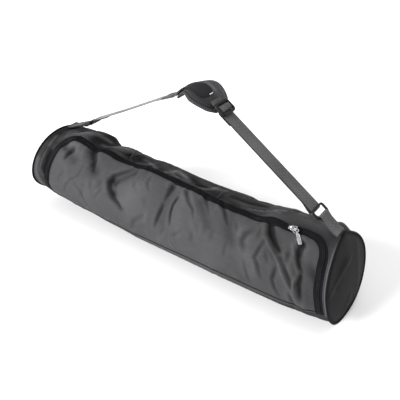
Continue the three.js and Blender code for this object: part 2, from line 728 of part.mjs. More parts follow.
function zipSliderSolid() {
  const [a, b] = [zipSliderLength / 2, zipSliderWidth / 2];
  const plan = new THREE.Shape();
  const { nose, shoulder, skirt, skirtLength, skirtAt } = sliderShape;
  plan.moveTo(-a, -b * nose);
  plan.lineTo(a * shoulder, -b);
  plan.lineTo(a, -b);
  plan.lineTo(a, b);
  plan.lineTo(a * shoulder, b);
  plan.lineTo(-a, b * nose);
  const plate = new THREE.ExtrudeGeometry(plan, { depth: zipPlate, bevelEnabled: false });
  const skirtHeight = zipPlate + coilRise / 2;
  const side = new THREE.BoxGeometry(zipSliderLength * skirtLength, skirt, skirtHeight);
  const sides = [-1, 1].map((end) =>
    side.clone().translate(a * skirtAt, end * (b - skirt / 2), zipPlate - skirtHeight / 2),
  );
  const outside = bailWindow.length + 2 * bailWire;
  const arch = new THREE.Shape();
  arch.moveTo(-outside / 2, -bailRoot);
  arch.lineTo(outside / 2, -bailRoot);
  arch.lineTo(outside / 2, bailHeight * nose);
  arch.lineTo(outside / 2 - bailWire, bailHeight);
  arch.lineTo(-outside / 2 + bailWire, bailHeight);
  arch.lineTo(-outside / 2, bailHeight * nose);
  const window = new THREE.Path();
  window.moveTo(-bailWindow.length / 2, 0);
  window.lineTo(-bailWindow.length / 2, bailWindow.height);
  window.lineTo(bailWindow.length / 2, bailWindow.height);
  window.lineTo(bailWindow.length / 2, 0);
  arch.holes.push(window);
  const bail = new THREE.ExtrudeGeometry(arch, { depth: bailWidth, bevelEnabled: false })
    .translate(0, 0, -bailWidth / 2)
    .rotateX(Math.PI / 2)
    .translate(0, 0, zipPlate);
  return joined([plate, ...sides, bail]);
}

function linkSolid() {
  const shape = roundedPlate(linkLength / 2, 0, linkLength, linkInside + 2 * linkWire, 2);
  shape.holes.push(roundedPlate(linkLength / 2, 0, linkLength - 2 * linkWire, linkInside, 1));
  const options = { depth: linkWire, bevelEnabled: false, curveSegments: 3 };
  return new THREE.ExtrudeGeometry(shape, options).translate(-linkWire / 2, 0, -linkWire / 2);
}

// Pull tab: a flat plate with an eye that wraps the link's far bar.
const eyeRadius = linkWire * Math.SQRT1_2 + 2 * clearance;

function pullSolid() {
  const eyeOutline = new THREE.Shape().absarc(0, 0, eyeRadius + eyeWall, 0, Math.PI * 2);
  eyeOutline.holes.push(new THREE.Path().absarc(0, 0, eyeRadius, 0, Math.PI * 2));
  const options = { depth: eyeWidth, bevelEnabled: false, curveSegments: 8 };
  const eye = new THREE.ExtrudeGeometry(eyeOutline, options)
    .translate(0, 0, -eyeWidth / 2)
    .rotateX(Math.PI / 2);
  const start = eyeRadius + eyeWall / 2;
  const [end, half] = [pullLength, pullWidth / 2];
  const plan = new THREE.Shape();
  plan.moveTo(start, -eyeWidth / 2);
  plan.lineTo(start + pullNeck, -half);
  plan.lineTo(end - pullCorner, -half);
  plan.lineTo(end, -half + pullCorner);
  plan.lineTo(end, half - pullCorner);
  plan.lineTo(end - pullCorner, half);
  plan.lineTo(start + pullNeck, half);
  plan.lineTo(start, eyeWidth / 2);
  const plate = new THREE.ExtrudeGeometry(plan, { depth: pullThickness, bevelEnabled: false });
  return joined([eye, plate.translate(0, 0, -pullThickness / 2)]);
}

// Puts the slider on the coil, with its length along the zip and its top away from the bag.
function zipSliderGroup() {
  const lineAt = (along) => tableValue(zipLine, "angle", along / halfLength);
  const lift = -(coilRise + clearance);
  const here = bagPoint(sliderAlong, lineAt(sliderAlong), lift);
  const step = zipSliderLength / 2;
  const ahead = bagPoint(sliderAlong + step, lineAt(sliderAlong + step), lift);
  const behind = bagPoint(sliderAlong - step, lineAt(sliderAlong - step), lift);
  const across = bagPoint(sliderAlong, lineAt(sliderAlong) + asAngle(zipSliderWidth / 2), lift);
  const x = ahead.clone().sub(behind).normalize();
  const z = x.clone().cross(across.clone().sub(here)).normalize();
  const y = z.clone().cross(x);
  const group = new THREE.Group();
  group.quaternion.setFromRotationMatrix(new THREE.Matrix4().makeBasis(x, y, z));
  group.position.copy(here.addScaledVector(z, sliderLift));
  group.add(named("zip_slider", zipSliderSolid(), nickel));
  const swing = new THREE.Group();
  swing.position.set(0, 0, zipPlate + bailWindow.height / 2);
  swing.rotation.z = degToRad(linkYaw);
  swing.add(named("zip_link", linkSolid(), nickel));
  const hanging = new THREE.Group();
  hanging.position.set(linkLength - linkWire, 0, 0);
  hanging.rotation.order = "ZYX";
  hanging.rotation.z = degToRad(pullYaw);
  hanging.rotation.y = degToRad(pullDroop);
  hanging.add(named("zip_pull", pullSolid(), nickel));
  swing.add(hanging);
  group.add(swing);
  return group;
}

function named(name, geometry, material) {
  const mesh = new THREE.Mesh(geometry, material);
  mesh.name = name;
  return mesh;
}

const tapeHigh = clearance;
const tapeLow = tapeHigh + tapeThickness;
const coilEdge = coilWidth / 2;
const tapeNear = coilEdge + clearance;
const tapeFar = zipEdge - clearance;
const bag = new THREE.Group();
bag.add(
  named("front_panel", frontPanel(), cloth),
  named("back_panel", backPanel(), cloth),
  named("left_cap", endCap(-1), cloth),
  named("right_cap", endCap(1), cloth),
  named("left_piping", piping(-1), blackTape),
  named("right_piping", piping(1), blackTape),
);

const zip = new THREE.Group();
zip.add(
  named("zip_coil", zipRibbon(-coilEdge, coilEdge, -coilRise, tapeLow), blackTape),
  named("zip_tape_front", zipRibbon(-tapeFar, -tapeNear, tapeHigh, tapeLow), blackTape),
  named("zip_tape_back", zipRibbon(tapeNear, tapeFar, tapeHigh, tapeLow), blackTape),
  zipSliderGroup(),
);

const strap = new THREE.Group();
strap.add(
  named("left_tab", tab(-1, leftRingPlace, leftLegBend), webbing),
  named("right_tab", tab(1, rightRingPlace, sliderPlace), webbing),
  named("left_ring", ring(leftRingPlace, leftLegBend), blackPlastic),
  named("right_ring", ring(rightRingPlace, sliderPlace), blackPlastic),
  named("strap_left", leftStrap(), webbing),
  named("strap_right", rightStrap(), webbing),
  named("strap_slider", triGlide(), blackPlastic),
  named("shoulder_pad", padBody(), darkCloth),
  named("pad_binding", padBinding(), webbing),
  named("pad_patch", padPatch(), darkCloth),
  named("pad_tongue", padTongue(), darkCloth),
);

const yogaMatBag = new THREE.Group();
yogaMatBag.add(bag, zip, strap);

export default yogaMatBag;
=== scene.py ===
"""Looks of a yoga mat bag that lies on its side with its strap standing up.

Lengths are millimetres and angles are degrees, up to the line where a mesh is made. Weaves, lights
and the camera are in metres. X runs along the bag, -Y is the front with the zip, Z = 0 is the floor.
"""

import math

import bpy
import numpy as np
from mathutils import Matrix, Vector


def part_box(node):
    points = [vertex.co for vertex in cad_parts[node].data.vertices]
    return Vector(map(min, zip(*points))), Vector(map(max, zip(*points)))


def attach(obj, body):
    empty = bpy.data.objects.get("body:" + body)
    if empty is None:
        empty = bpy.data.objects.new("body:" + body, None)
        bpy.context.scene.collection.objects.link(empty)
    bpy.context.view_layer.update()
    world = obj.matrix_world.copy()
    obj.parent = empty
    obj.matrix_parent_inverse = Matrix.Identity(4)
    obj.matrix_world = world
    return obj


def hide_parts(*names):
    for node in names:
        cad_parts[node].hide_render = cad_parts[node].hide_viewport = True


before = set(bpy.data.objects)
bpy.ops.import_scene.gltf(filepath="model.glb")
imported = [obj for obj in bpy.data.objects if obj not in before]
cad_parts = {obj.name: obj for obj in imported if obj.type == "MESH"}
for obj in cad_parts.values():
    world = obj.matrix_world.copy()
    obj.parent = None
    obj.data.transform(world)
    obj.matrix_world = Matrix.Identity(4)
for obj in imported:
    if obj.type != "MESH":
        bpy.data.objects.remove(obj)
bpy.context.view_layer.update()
MM = 0.001

# Sizes shared with the solids
BAG_LENGTH, RADIUS, WALL, MIDDLE_X = 640.0, 77.0, 1.5, 6.0
RIGHT_LEAN_UP, LEFT_LEAN_UP, LEFT_LEAN_SIDE = -0.22, 0.13, 0.25
CLEARANCE, SEAM_GAP = 0.3, 0.5
PIPING_RADIUS, PIPING_OUT, CAP_BULGE = 2.0, 0.5, 5.0
ZIP_LEFT, ZIP_RIGHT, ZIP_CORNER = -276.0, 306.0, 38.0
COIL_WIDTH, TAPE_WIDTH, TAPE_THICKNESS = 5.0, 4.0, 1.0
WEB_WIDTH, WEB_THICKNESS, STRAP_Y, LEFT_TAB_Y = 26.0, 1.4, 4.0, 16.0
RING_BAR, RING_THICKNESS, RING_WINDOW = 3.5, 2.6, 12.0
SLIDER_BAR, MIDDLE_BAR, SLIDER_SLOT, SLIDER_THICKNESS, TAB_SEAT = 4.0, 3.0, 6.5, 2.5, 7.0
LEFT_RING, RIGHT_RING, SLIDER = (-231.0, 188.0), (267.0, 181.0), (86.0, 305.5)
LEG_BEND, LEG_TOP = (-136.0, 240.0), (-48.0, 287.0)
FOLD_RUN, LEFT_TAIL, RIGHT_TAIL, SLOT_EDGE, OVER_BAR = 10.5, 45.0, 20.0, 1.3, 2.4
BAR_TURNS = ((5.7, -3.95), (3.8, -0.4), (2.4, 2.25), (-2.4, 2.25), (-3.6, -0.2), (-2.6, -2.59), (3, -5.65))
PAD_HALF, PAD_THICKNESS, PAD_EDGE, PAD_DROOP = 34.0, 8.0, 3.0, 7.0
PAD_DROP, PAD_SHIFT, BINDING_RADIUS, PAD_TIP = 2.4, 4.0, 2.4, (0.0, 307.0)
PAD_RISE, PAD_SLOPE = 42.0, 48.0
PATCH_LIFT, PATCH_THICKNESS = 0.7, 1.0
TONGUE_LENGTH, TONGUE_THICKNESS, TONGUE_GAP = 24.0, 2.0, 3.0
HALF_LENGTH = BAG_LENGTH / 2
ZIP_EDGE = COIL_WIDTH / 2 + CLEARANCE + TAPE_WIDTH + CLEARANCE
LOOP_RADIUS = math.hypot(RING_BAR, RING_THICKNESS) / 2 + CLEARANCE + WEB_THICKNESS / 2
RING_REACH = RING_WINDOW / 2 + RING_BAR / 2
LAYER_STEP = WEB_THICKNESS + CLEARANCE

# Cross sections: place, half width, top, under, shift, tent, square
SECTIONS = (
    (-1.0, 0.97, 1.1, 0.73, 0.02, 0.05, 0.0),
    (-0.8, 1.0, 1.12, 0.84, 0.01, 0.05, 0.0),
    (-0.6, 1.0, 1.06, 1.02, 0.0, 0.04, -0.03),
    (-0.4, 1.0, 0.88, 1.06, 0.0, 0.03, 0.0),
    (-0.2, 1.0, 0.97, 1.08, 0.0, 0.03, 0.03),
    (0.1, 1.01, 0.89, 1.09, 0.0, 0.02, 0.02),
    (0.35, 1.01, 0.88, 1.08, 0.0, 0.02, 0.03),
    (0.52, 1.01, 0.85, 1.06, 0.01, 0.04, 0.04),
    (0.7, 1.02, 0.95, 1.0, 0.03, 0.08, 0.07),
    (0.85, 1.02, 0.99, 0.92, 0.06, 0.18, 0.09),
    (0.93, 1.0, 1.02, 0.87, 0.08, 0.24, 0.11),
    (1.0, 0.98, 0.94, 0.82, 0.09, 0.28, 0.12),
)
# Height of the zip, of the bottom seam and, in millimetres along, of the seam's upper row
ZIP_LINE = (
    (-1.0, 70), (-0.66, 76), (-0.5, 80), (-0.4, 83), (-0.2, 81),
    (0.1, 80), (0.3, 76), (0.6, 75), (0.8, 71), (1.0, 67),
)
HEM_LINE = ((-300, -36), (-112, -29), (-20, -26), (60, -24), (240, -24), (310, -22))
SEAM_LINE = ((-1.0, -44), (0.2, -43), (0.5, -36), (0.8, -31), (1.0, -25))

# Folds of the solids: from place, angle to place, angle, then width and lift as shares of the radius
FOLDS = (
    (-0.83, 60, -0.7, 46, 0.13, -0.07), (-0.66, 70, -0.53, 44, 0.15, -0.08),
    (-0.3, 68, -0.39, 46, 0.14, -0.08), (-0.39, 46, -0.36, 26, 0.13, -0.08),
    (-0.36, 26, -0.27, 8, 0.12, -0.06), (-0.2, 50, -0.24, 24, 0.3, 0.05),
    (0.0, 68, 0.01, 18, 0.13, -0.05), (0.1, 62, 0.14, 16, 0.26, 0.04),
    (0.2, 68, 0.3, 40, 0.12, -0.05), (0.38, 66, 0.47, 34, 0.14, -0.05),
    (0.52, 50, 0.6, 6, 0.26, 0.05), (0.66, 60, 0.74, 34, 0.13, -0.07),
    (0.76, 30, 0.88, -18, 0.13, 0.05), (0.84, 42, 0.87, -8, 0.1, -0.05),
    (-0.83, 70, -0.72, 128, 0.28, 0.08), (-0.62, 84, -0.55, 150, 0.25, -0.07),
    (-0.45, 100, -0.1, 88, 0.14, -0.05), (-0.3, 112, 0.1, 106, 0.22, 0.04),
    (0.05, 98, 0.38, 82, 0.14, -0.05), (0.62, 88, 0.98, 96, 0.22, 0.07),
    (-0.2, 150, 0.15, 172, 0.18, -0.06), (0.4, 130, 0.52, 186, 0.16, -0.06),
    (-0.5, 160, -0.3, 196, 0.26, 0.04), (0.78, 140, 0.84, 200, 0.16, -0.06),
)

# Sharper creases of the cloth: width, depth, whether it hangs wide from its first point, and its
# points as along, angle. A ridge has a negative depth.
CREASES = (
    # Front
    (3.8, 4.0, 1, ((-244, 57), (-247, 50), (-245, 40))),
    (4.6, 4.5, 1, ((-203, 71), (-186, 57), (-175, 43))),
    (3.2, 4.5, 0, ((-103, 75), (-117, 64), (-130, 54), (-132, 42), (-124, 31), (-114, 21),
                   (-98, 15), (-90, 8))),
    (2.9, 3.8, 1, ((-5, 72), (-4, 58), (-4, 48))),
    (2.8, 3.0, 0, ((-3, 42), (-4, 28), (-8, 5))),
    (2.5, 3.2, 0, ((18, 59), (16, 48), (18, 36), (24, 19))),
    (2.9, 1.3, 0, ((-52, 69), (-50, 58), (-41, 50))),
    (3.6, 1.2, 0, ((-168, 30), (-162, 17))),
    (2.9, 1.2, 0, ((-140, 26), (-152, 7))),
    (2.3, 1.0, 0, ((-196, 45), (-198, 28), (-214, 17))),
    (4.3, 1.4, 0, ((-36, 14), (-57, -1), (-67, -18))),
    (3.6, 1.2, 0, ((50, 18), (32, 4))),
    (2.8, 3.4, 1, ((25, 72), (42, 59), (56, 52), (64, 42))),
    (2.5, 2.6, 1, ((64, 75), (76, 65), (88, 54))),
    (3.2, 3.6, 1, ((99, 76), (114, 65), (128, 52))),
    (2.9, 1.3, 0, ((140, 60), (150, 49))),
    (5.2, 3.2, 0, ((177, 57), (169, 49), (166, 39), (176, 29))),
    (2.9, 1.2, 0, ((190, 64), (192, 49))),
    (2.9, 2.6, 0, ((205, 48), (200, 34), (197, 24), (204, 16), (211, 0))),
    (2.9, 1.4, 0, ((212, 35), (220, 23))),
    (3.5, 1.6, 0, ((180, 16), (184, 0), (188, -15))),
    (2.9, 2.2, 0, ((236, 20), (230, 4), (234, -10), (240, -19))),
    (3.8, 5.0, 1, ((203, 69), (210, 57), (222, 48), (235, 40))),
    (3.8, 4.0, 0, ((240, 33), (250, 24), (260, 13), (264, 0))),
    (4.3, 2.4, 0, ((250, 44), (252, 30))),
    (3.6, 5.5, 1, ((268, 54), (266, 46), (266, 38), (271, 30), (278, 26))),
    (3.6, 3.6, 0, ((277, 22), (274, 10), (275, -2), (276, -14))),
    (6.5, 2.6, 0, ((293, 32), (300, 24), (306, 16))),
    (2.9, 1.6, 0, ((258, -8), (262, -21))),
    (2.3, -1.8, 0, ((203, 51), (214, 43), (229, 34), (246, 21), (258, 6), (264, -2), (270, -21))),
    (2.2, -1.8, 0, ((252, 52), (262, 40), (268, 28), (272, 22), (269, 12), (266, 1))),
    (3.6, 1.0, 0, ((72, 26), (72, 9))),
    (4.3, 1.0, 0, ((109, 38), (109, 21))),
    (3.2, 1.1, 0, ((140, 29), (138, 8))),
    # Behind the zip
    (1.6, -2.4, 0, ((-268, 60), (-256, 69), (-250, 77), (-239, 91), (-230, 112))),
    (1.7, -1.6, 0, ((-194, 84), (-177, 96), (-166, 114))),
    (2.0, 2.0, 0, ((-166, 91), (-147, 98), (-146, 109))),
    (1.7, -1.8, 0, ((-156, 127), (-140, 98), (-122, 88))),
    (2.3, 2.2, 0, ((-136, 106), (-130, 118), (-95, 107))),
    (1.6, -2.0, 0, ((-124, 107), (-94, 100), (-68, 92))),
    (1.6, -1.8, 0, ((-79, 81), (-78, 95), (-68, 104))),
    (1.7, -1.8, 0, ((-54, 88), (-33, 92), (-6, 87))),
    (2.0, 2.0, 0, ((-45, 92), (-16, 92), (10, 94))),
    (1.7, -1.8, 0, ((36, 79), (50, 91), (69, 107))),
    (2.2, 2.0, 0, ((26, 91), (45, 97), (66, 96))),
    (1.7, -1.8, 0, ((80, 80), (79, 96), (86, 107))),
    (1.6, -2.4, 0, ((146, 84), (163, 88), (180, 91), (208, 88), (230, 102))),
    (3.8, 2.6, 0, ((100, 96), (138, 97), (170, 105))),
    # Beside the end cords
    (3.8, 2.6, 0, ((-287, 44), (-286, 29), (-286, 11))),
    (2.0, -2.0, 0, ((-300, 47), (-299, 29), (-299, 10))),
    (1.9, -1.4, 0, ((310, 54), (317, 34), (319, 13))),
    # Wide dents and crests that show in the top outline
    (20.0, 8.5, 0, ((-216, 92), (-212, 122), (-206, 156))),
    (13.0, -4.5, 0, ((-300, 96), (-290, 124), (-286, 156))),
    (16.0, -2.5, 0, ((-168, 110), (-130, 128), (-126, 150))),
    (26.0, 3.6, 0, ((-96, 122), (-20, 128), (60, 130), (134, 122))),
    (16.0, -1.6, 0, ((170, 122), (210, 118), (250, 116))),
    (7.0, -5.0, 0, ((274, 116), (296, 124), (312, 128))),
    # Back
    (5.0, 4.0, 0, ((-267, 84), (-258, 104), (-240, 128))),
    (7.0, 3.5, 0, ((-304, 90), (-298, 110), (-284, 130))),
    (6.0, 3.0, 0, ((-120, 128), (-60, 146), (10, 140))),
    (7.0, 3.5, 0, ((-230, 140), (-180, 168), (-170, 200))),
    (6.0, -3.0, 0, ((-60, 150), (-30, 176), (-44, 206))),
    (7.0, 3.5, 0, ((60, 128), (96, 150), (92, 182))),
    (6.0, 3.0, 0, ((150, 118), (190, 150), (186, 190))),
    (6.0, -3.5, 0, ((250, 118), (268, 150), (262, 196))),
    (6.0, 3.0, 0, ((-292, 130), (-276, 168), (-284, 206))),
    (5.0, 2.5, 0, ((296, 112), (286, 138), (290, 170))),
)

# Strokes of painted light and shade on the cloth, lighter where light falls and darker where shade and
# shadow fall: width, tone, points as along, angle
BACK_PAINTED_SHADING = (
    (12, -0.6, ((-308, 66), (-308, 94), (-298, 118), (-262, 112))),
    (5, 2.4, ((-262, 84), (-248, 91), (-232, 102), (-216, 114))),
    (5, 1.8, ((-206, 92), (-180, 96), (-160, 108))),
    (9, -0.65, ((-304, 58), (-292, 36), (-289, 18), (-282, 4))),
    (7, -0.5, ((-286, 56), (-274, 70))),
    (7, 1.6, ((-314, 24), (-312, 8), (-304, -10), (-300, -34))),
    (4, 1.4, ((-306, 66), (-302, 50))),
    (2.6, 2.6, ((188, 93), (218, 100), (242, 107))),
    (9, -0.4, ((176, 124), (230, 112), (276, 92))),
    (9, -0.45, ((218, 88), (242, 83), (272, 72), (296, 62))),
    (5, 1.6, ((276, 116), (296, 124), (312, 128))),
    (4, 1.8, ((-110, 88), (-84, 96), (-64, 90))),
    (4, 1.8, ((-40, 90), (-20, 100), (10, 92))),
    (4, 1.8, ((40, 86), (60, 100), (84, 104))),
    (6, -0.5, ((-150, 104), (-136, 112), (-120, 104))),
    (6, -0.5, ((-10, 104), (20, 98), (36, 92))),
)
# Painted shade on the front cloth
FRONT_PAINTED_SHADING = (
    (5, -0.45, ((-262, 54), (-250, 53), (-246, 43))),
    (12, -0.2, ((284, 30), (290, 10), (288, -10))),
    (7, -0.25, ((-203, 68), (-186, 56), (-175, 44))),
    (6, -0.2, ((18, 56), (16, 44), (22, 26))),
    (7, -0.12, ((203, 68), (214, 56), (232, 42))),
)


def smooth(value, low, high):
    share = np.clip((value - low) / (high - low), 0, 1)
    return share * share * (3 - 2 * share)


def bell(value, width):
    return np.exp(-((value / width) ** 2))


def unit(vectors):
    return vectors / np.linalg.norm(vectors, axis=-1)[..., None]


def full_turn(sides):
    return 2 * math.pi * np.arange(sides) / sides


def run_of(points):
    """Length of a path up to each of its points."""
    return np.concatenate(((0.0,), np.cumsum(np.linalg.norm(np.diff(points, axis=0), axis=1))))


def between(at, places, values):
    """Rows of values at new places, from the values at the given places."""
    return np.stack([np.interp(at, places, column) for column in np.asarray(values).T], 1)


def table_value(table, column, at):
    steps = np.array([row[0] for row in table])
    values = np.array([row[column] for row in table], float)
    after = np.clip(np.searchsorted(steps, at), 1, len(steps) - 1)
    share = smooth(at, steps[after - 1], steps[after])
    return values[after - 1] * (1 - share) + values[after] * share


def arc_of(angle):
    return RADIUS * np.radians(angle)


def angle_of(length):
    return np.degrees(length / RADIUS)


def off_line(along, arc, start, end):
    """Distance to a line, with its sign by the side, and the share along it."""
    run = np.subtract(end, start)
    x, y = along - start[0], arc - start[1]
    share = np.clip((x * run[0] + y * run[1]) / (run @ run), 0, 1)
    x, y = x - share * run[0], y - share * run[1]
    return np.hypot(x, y) * np.where(run[0] * y - run[1] * x > 0, 1, -1), share


def fold_lift(along, angle):
    lift = np.zeros(np.broadcast(along, angle).shape)
    arc = arc_of(angle)
    for at, turn, to_at, to_turn, width, height in FOLDS:
        start = (at * HALF_LENGTH, arc_of(turn))
        away, _ = off_line(along, arc, start, (to_at * HALF_LENGTH, arc_of(to_turn)))
        lift += height * RADIUS * bell(away, width * RADIUS)
    return lift


def off_course(along, arc, points):
    """Distance to a course of along, angle points, and the share along it."""
    nearest = np.full(along.shape, 1e9)
    place = np.zeros(along.shape)
    steps = list(zip(points[:-1], points[1:]))
    for k, ((x0, a0), (x1, a1)) in enumerate(steps):
        away, share = off_line(along, arc, (x0, arc_of(a0)), (x1, arc_of(a1)))
        closer = np.abs(away) < np.abs(nearest)
        nearest = np.where(closer, away, nearest)
        place = np.where(closer, (k + share) / len(steps), place)
    return nearest, place


# Lips beside a crease, as shares of its width and depth
LIP_AWAY, LIP_WIDTH, LIP_RISE = 2.1, 1.2, 0.22


def crease(along, arc, width, depth, hangs, points):
    """A valley along a course, with a low lip on both sides, that runs out at its ends."""
    nearest, place = off_course(along, arc, points)
    if hangs:
        swell = 1 - 0.75 * place
        width = width * (1.5 - 0.9 * place)
    else:
        swell = 0.35 + 0.65 * np.sin(math.pi * place) ** 0.7
    lips = bell(np.abs(nearest) - LIP_AWAY * width, LIP_WIDTH * width)
    return swell * depth * (LIP_RISE * lips - bell(nearest, width))


def small_creases(count=150):
    """Short fine wrinkles all over the cloth, from a fixed seed, mostly running round the tube."""
    random = np.random.default_rng(7)
    rows = []
    for _ in range(count):
        x, turn = random.uniform(-300, 300), random.uniform(-40, 320)
        lean, length = random.normal(0, 0.5), random.uniform(14, 46)
        bend = random.uniform(-4, 4)
        dx, dy = length / 2 * math.sin(lean), length / 2 * math.cos(lean)
        points = ((x - dx, turn - angle_of(dy)), (x + bend, turn), (x + dx, turn + angle_of(dy)))
        rows.append((random.uniform(2.6, 5.0), random.choice((-1, 1)) * random.uniform(0.3, 1.1), 0,
                     points))
    return rows


SMALL_CREASES = small_creases()


def crease_lift(along, angle, rows=CREASES):
    along, angle = (np.asarray(v, float) for v in np.broadcast_arrays(along, angle))
    arc = arc_of(angle)
    lift = np.zeros(along.shape)
    for width, depth, hangs, points in rows:
        reach = 5 * width
        x = [p[0] for p in points]
        y = [arc_of(p[1]) for p in points]
        near = ((along > min(x) - reach) & (along < max(x) + reach)
                & (arc > min(y) - reach) & (arc < max(y) + reach))
        if near.any():
            lift[near] += crease(along[near], arc[near], width, depth, hangs, points)
    return lift


CALM_END, CALM_START = 1.0, 14.0


def cloth_lift(along, angle):
    """All folds of the cloth, which run out beside the end cords."""
    calm = smooth(HALF_LENGTH - np.abs(along), CALM_END, CALM_START)
    fine = crease_lift(along, angle) + crease_lift(along, angle, SMALL_CREASES)
    return fold_lift(along, angle) + calm * fine


def bag_point(along, angle, depth=0.0, lift=None):
    """A point of the tube: along its axis, round it from the front over the top, so deep in the wall."""
    lift = cloth_lift(along, angle) if lift is None else lift
    along, angle, depth = np.broadcast_arrays(np.asarray(along, float), angle, depth)
    at = along / HALF_LENGTH
    half, top, under, shift, tent, square = (table_value(SECTIONS, k, at) for k in range(1, 7))
    cos, sin = np.cos(np.radians(angle)), np.sin(np.radians(angle))
    corner = np.where((sin < 0) & (cos > 0), 1 + square * (2 * sin * cos) ** 2, 1)
    half = RADIUS * half * (1 - tent * np.maximum(sin, 0) ** 2) * corner
    height = RADIUS * np.where(sin > 0, top, under) * corner
    normal = np.stack((-cos * height, sin * half))
    normal /= np.linalg.norm(normal, axis=0)
    out = lift - depth
    y = RADIUS * shift - half * cos + normal[0] * out
    z = np.maximum(RADIUS + height * sin + normal[1] * out, depth)
    right, left = smooth(at, 0.1, 1), smooth(-at, 0.1, 1)
    x = MIDDLE_X + along + (right * RIGHT_LEAN_UP + left * LEFT_LEAN_UP) * (z - RADIUS)
    return np.stack((x + left * LEFT_LEAN_SIDE * y, y, z), -1)


# Materials

def node_material(name, roughness, metallic=0.0, sheen=0.0, specular=0.5):
    material = bpy.data.materials.new(name)
    material.use_nodes = True
    tree = material.node_tree
    shader = tree.nodes["Principled BSDF"]
    for key, value in (("Roughness", roughness), ("Metallic", metallic), ("Sheen Weight", sheen),
                       ("Sheen Roughness", 0.4), ("Specular IOR Level", specular)):
        shader.inputs[key].default_value = value
    return material, tree, shader


def math_node(tree, operation, a, b=None):
    node = tree.nodes.new("ShaderNodeMath")
    node.operation = operation
    for socket, value in zip(node.inputs, (a, b)):
        if isinstance(value, (int, float)):
            socket.default_value = value
        elif value is not None:
            tree.links.new(value, socket)
    return node.outputs[0]


def times(tree, a, b):
    return math_node(tree, "MULTIPLY", a, b)


def plus(tree, a, b):
    return math_node(tree, "ADD", a, b)


def noise(tree, coordinate, scale, detail=3.0, stretch=(1, 1, 1)):
    mapping = tree.nodes.new("ShaderNodeMapping")
    mapping.inputs["Scale"].default_value = stretch
    tree.links.new(coordinate, mapping.inputs["Vector"])
    node = tree.nodes.new("ShaderNodeTexNoise")
    node.inputs["Scale"].default_value = scale
    node.inputs["Detail"].default_value = detail
    tree.links.new(mapping.outputs[0], node.inputs["Vector"])
    return node.outputs["Fac"]


def ramp(tree, value, stops):
    node = tree.nodes.new("ShaderNodeValToRGB")
    for k, (place, color) in enumerate(stops):
        element = node.color_ramp.elements[k] if k < 2 else node.color_ramp.elements.new(place)
        element.position = place
        element.color = (*color, 1)
    tree.links.new(value, node.inputs["Fac"])
    return node.outputs["Color"]


def bump(tree, height, distance, strength, under=None):
    node = tree.nodes.new("ShaderNodeBump")
    node.inputs["Distance"].default_value = distance
    node.inputs["Strength"].default_value = strength
    tree.links.new(height, node.inputs["Height"])
    if under is not None:
        tree.links.new(under, node.inputs["Normal"])
    return node.outputs["Normal"]


def shades(color, low, high):
    return tuple(low * c for c in color), tuple(high * c for c in color)


PATCHES_PER_METRE, CRUMPLES_PER_METRE, CRUMPLE_HEIGHT = 14.0, 38.0, 0.0022
SLUB_SHARE, SLUB_STRETCH, THREAD_HEIGHT = 0.3, (0.15, 1, 1), 0.35


def woven(name, color, pitch=(0.0007, 0.0007), rib=0.5, roughness=0.6, sheen=0.0, spread=0.22,
          crumple=0.5, specular=0.2, grain=0.12):
    """Cloth or webbing: threads over and under each other along the two UV directions."""
    material, tree, shader = node_material(name, roughness, sheen=sheen, specular=specular)
    uv = tree.nodes.new("ShaderNodeUVMap")
    uv.uv_map = "UVMap"
    place = uv.outputs[0]
    parts = tree.nodes.new("ShaderNodeSeparateXYZ")
    tree.links.new(place, parts.inputs[0])
    waves = [math_node(tree, "SINE", times(tree, parts.outputs[k], math.pi / pitch[k]))
             for k in (0, 1)]
    weave = times(tree, *waves)
    height = plus(tree, weave, times(tree, math_node(tree, "ABSOLUTE", waves[1]), rib))
    slubs = noise(tree, place, 1 / pitch[0] / 6, 2.0, SLUB_STRETCH)
    patches = noise(tree, place, PATCHES_PER_METRE, 4.0)
    tone = plus(tree, times(tree, patches, 1 - SLUB_SHARE), times(tree, slubs, SLUB_SHARE))
    low, high = shades(color, 1 - spread, 1 + spread)
    base = ramp(tree, plus(tree, tone, times(tree, weave, grain)), ((0.25, low), (0.75, high)))
    # Painted light and shade: the tone attribute lightens and darkens the colour of each point
    painted_shading = tree.nodes.new("ShaderNodeAttribute")
    painted_shading.attribute_name = "tone"
    scaled = tree.nodes.new("ShaderNodeVectorMath")
    scaled.operation = "SCALE"
    tree.links.new(base, scaled.inputs[0])
    tree.links.new(plus(tree, painted_shading.outputs["Fac"], 1.0), scaled.inputs["Scale"])
    tree.links.new(scaled.outputs[0], shader.inputs["Base Color"])
    soft = noise(tree, place, CRUMPLES_PER_METRE, 5.0, (1, 1.6, 1))
    under = bump(tree, soft, CRUMPLE_HEIGHT, crumple)
    threads = bump(tree, height, pitch[0] * THREAD_HEIGHT, 0.55, under)
    tree.links.new(threads, shader.inputs["Normal"])
    return material


def moulded(name, color, roughness, specular):
    """Moulded plastic with a fine skin and worn patches."""
    material, tree, shader = node_material(name, roughness, specular=specular)
    place = tree.nodes.new("ShaderNodeTexCoord").outputs["Object"]
    wear = noise(tree, place, 160.0, 4.0)
    low, high = shades(color, 0.8, 1.5)
    tree.links.new(ramp(tree, wear, ((0.35, low), (0.7, high))), shader.inputs["Base Color"])
    rough = plus(tree, times(tree, wear, 0.25), roughness - 0.12)
    tree.links.new(rough, shader.inputs["Roughness"])
    fine = noise(tree, place, 2600.0, 2.0)
    tree.links.new(bump(tree, fine, 0.0002, 0.15), shader.inputs["Normal"])
    return material


def metal(name, color, roughness):
    """Cast and plated metal with fine scratches."""
    material, tree, shader = node_material(name, roughness, metallic=1.0)
    place = tree.nodes.new("ShaderNodeTexCoord").outputs["Object"]
    scratches = noise(tree, place, 900.0, 3.0, (1, 0.12, 1))
    low, high = shades(color, 0.82, 1.1)
    tree.links.new(ramp(tree, scratches, ((0.3, low), (0.7, high))), shader.inputs["Base Color"])
    rough = plus(tree, times(tree, scratches, 0.2), roughness - 0.08)
    tree.links.new(rough, shader.inputs["Roughness"])
    tree.links.new(bump(tree, scratches, 0.0001, 0.2), shader.inputs["Normal"])
    return material


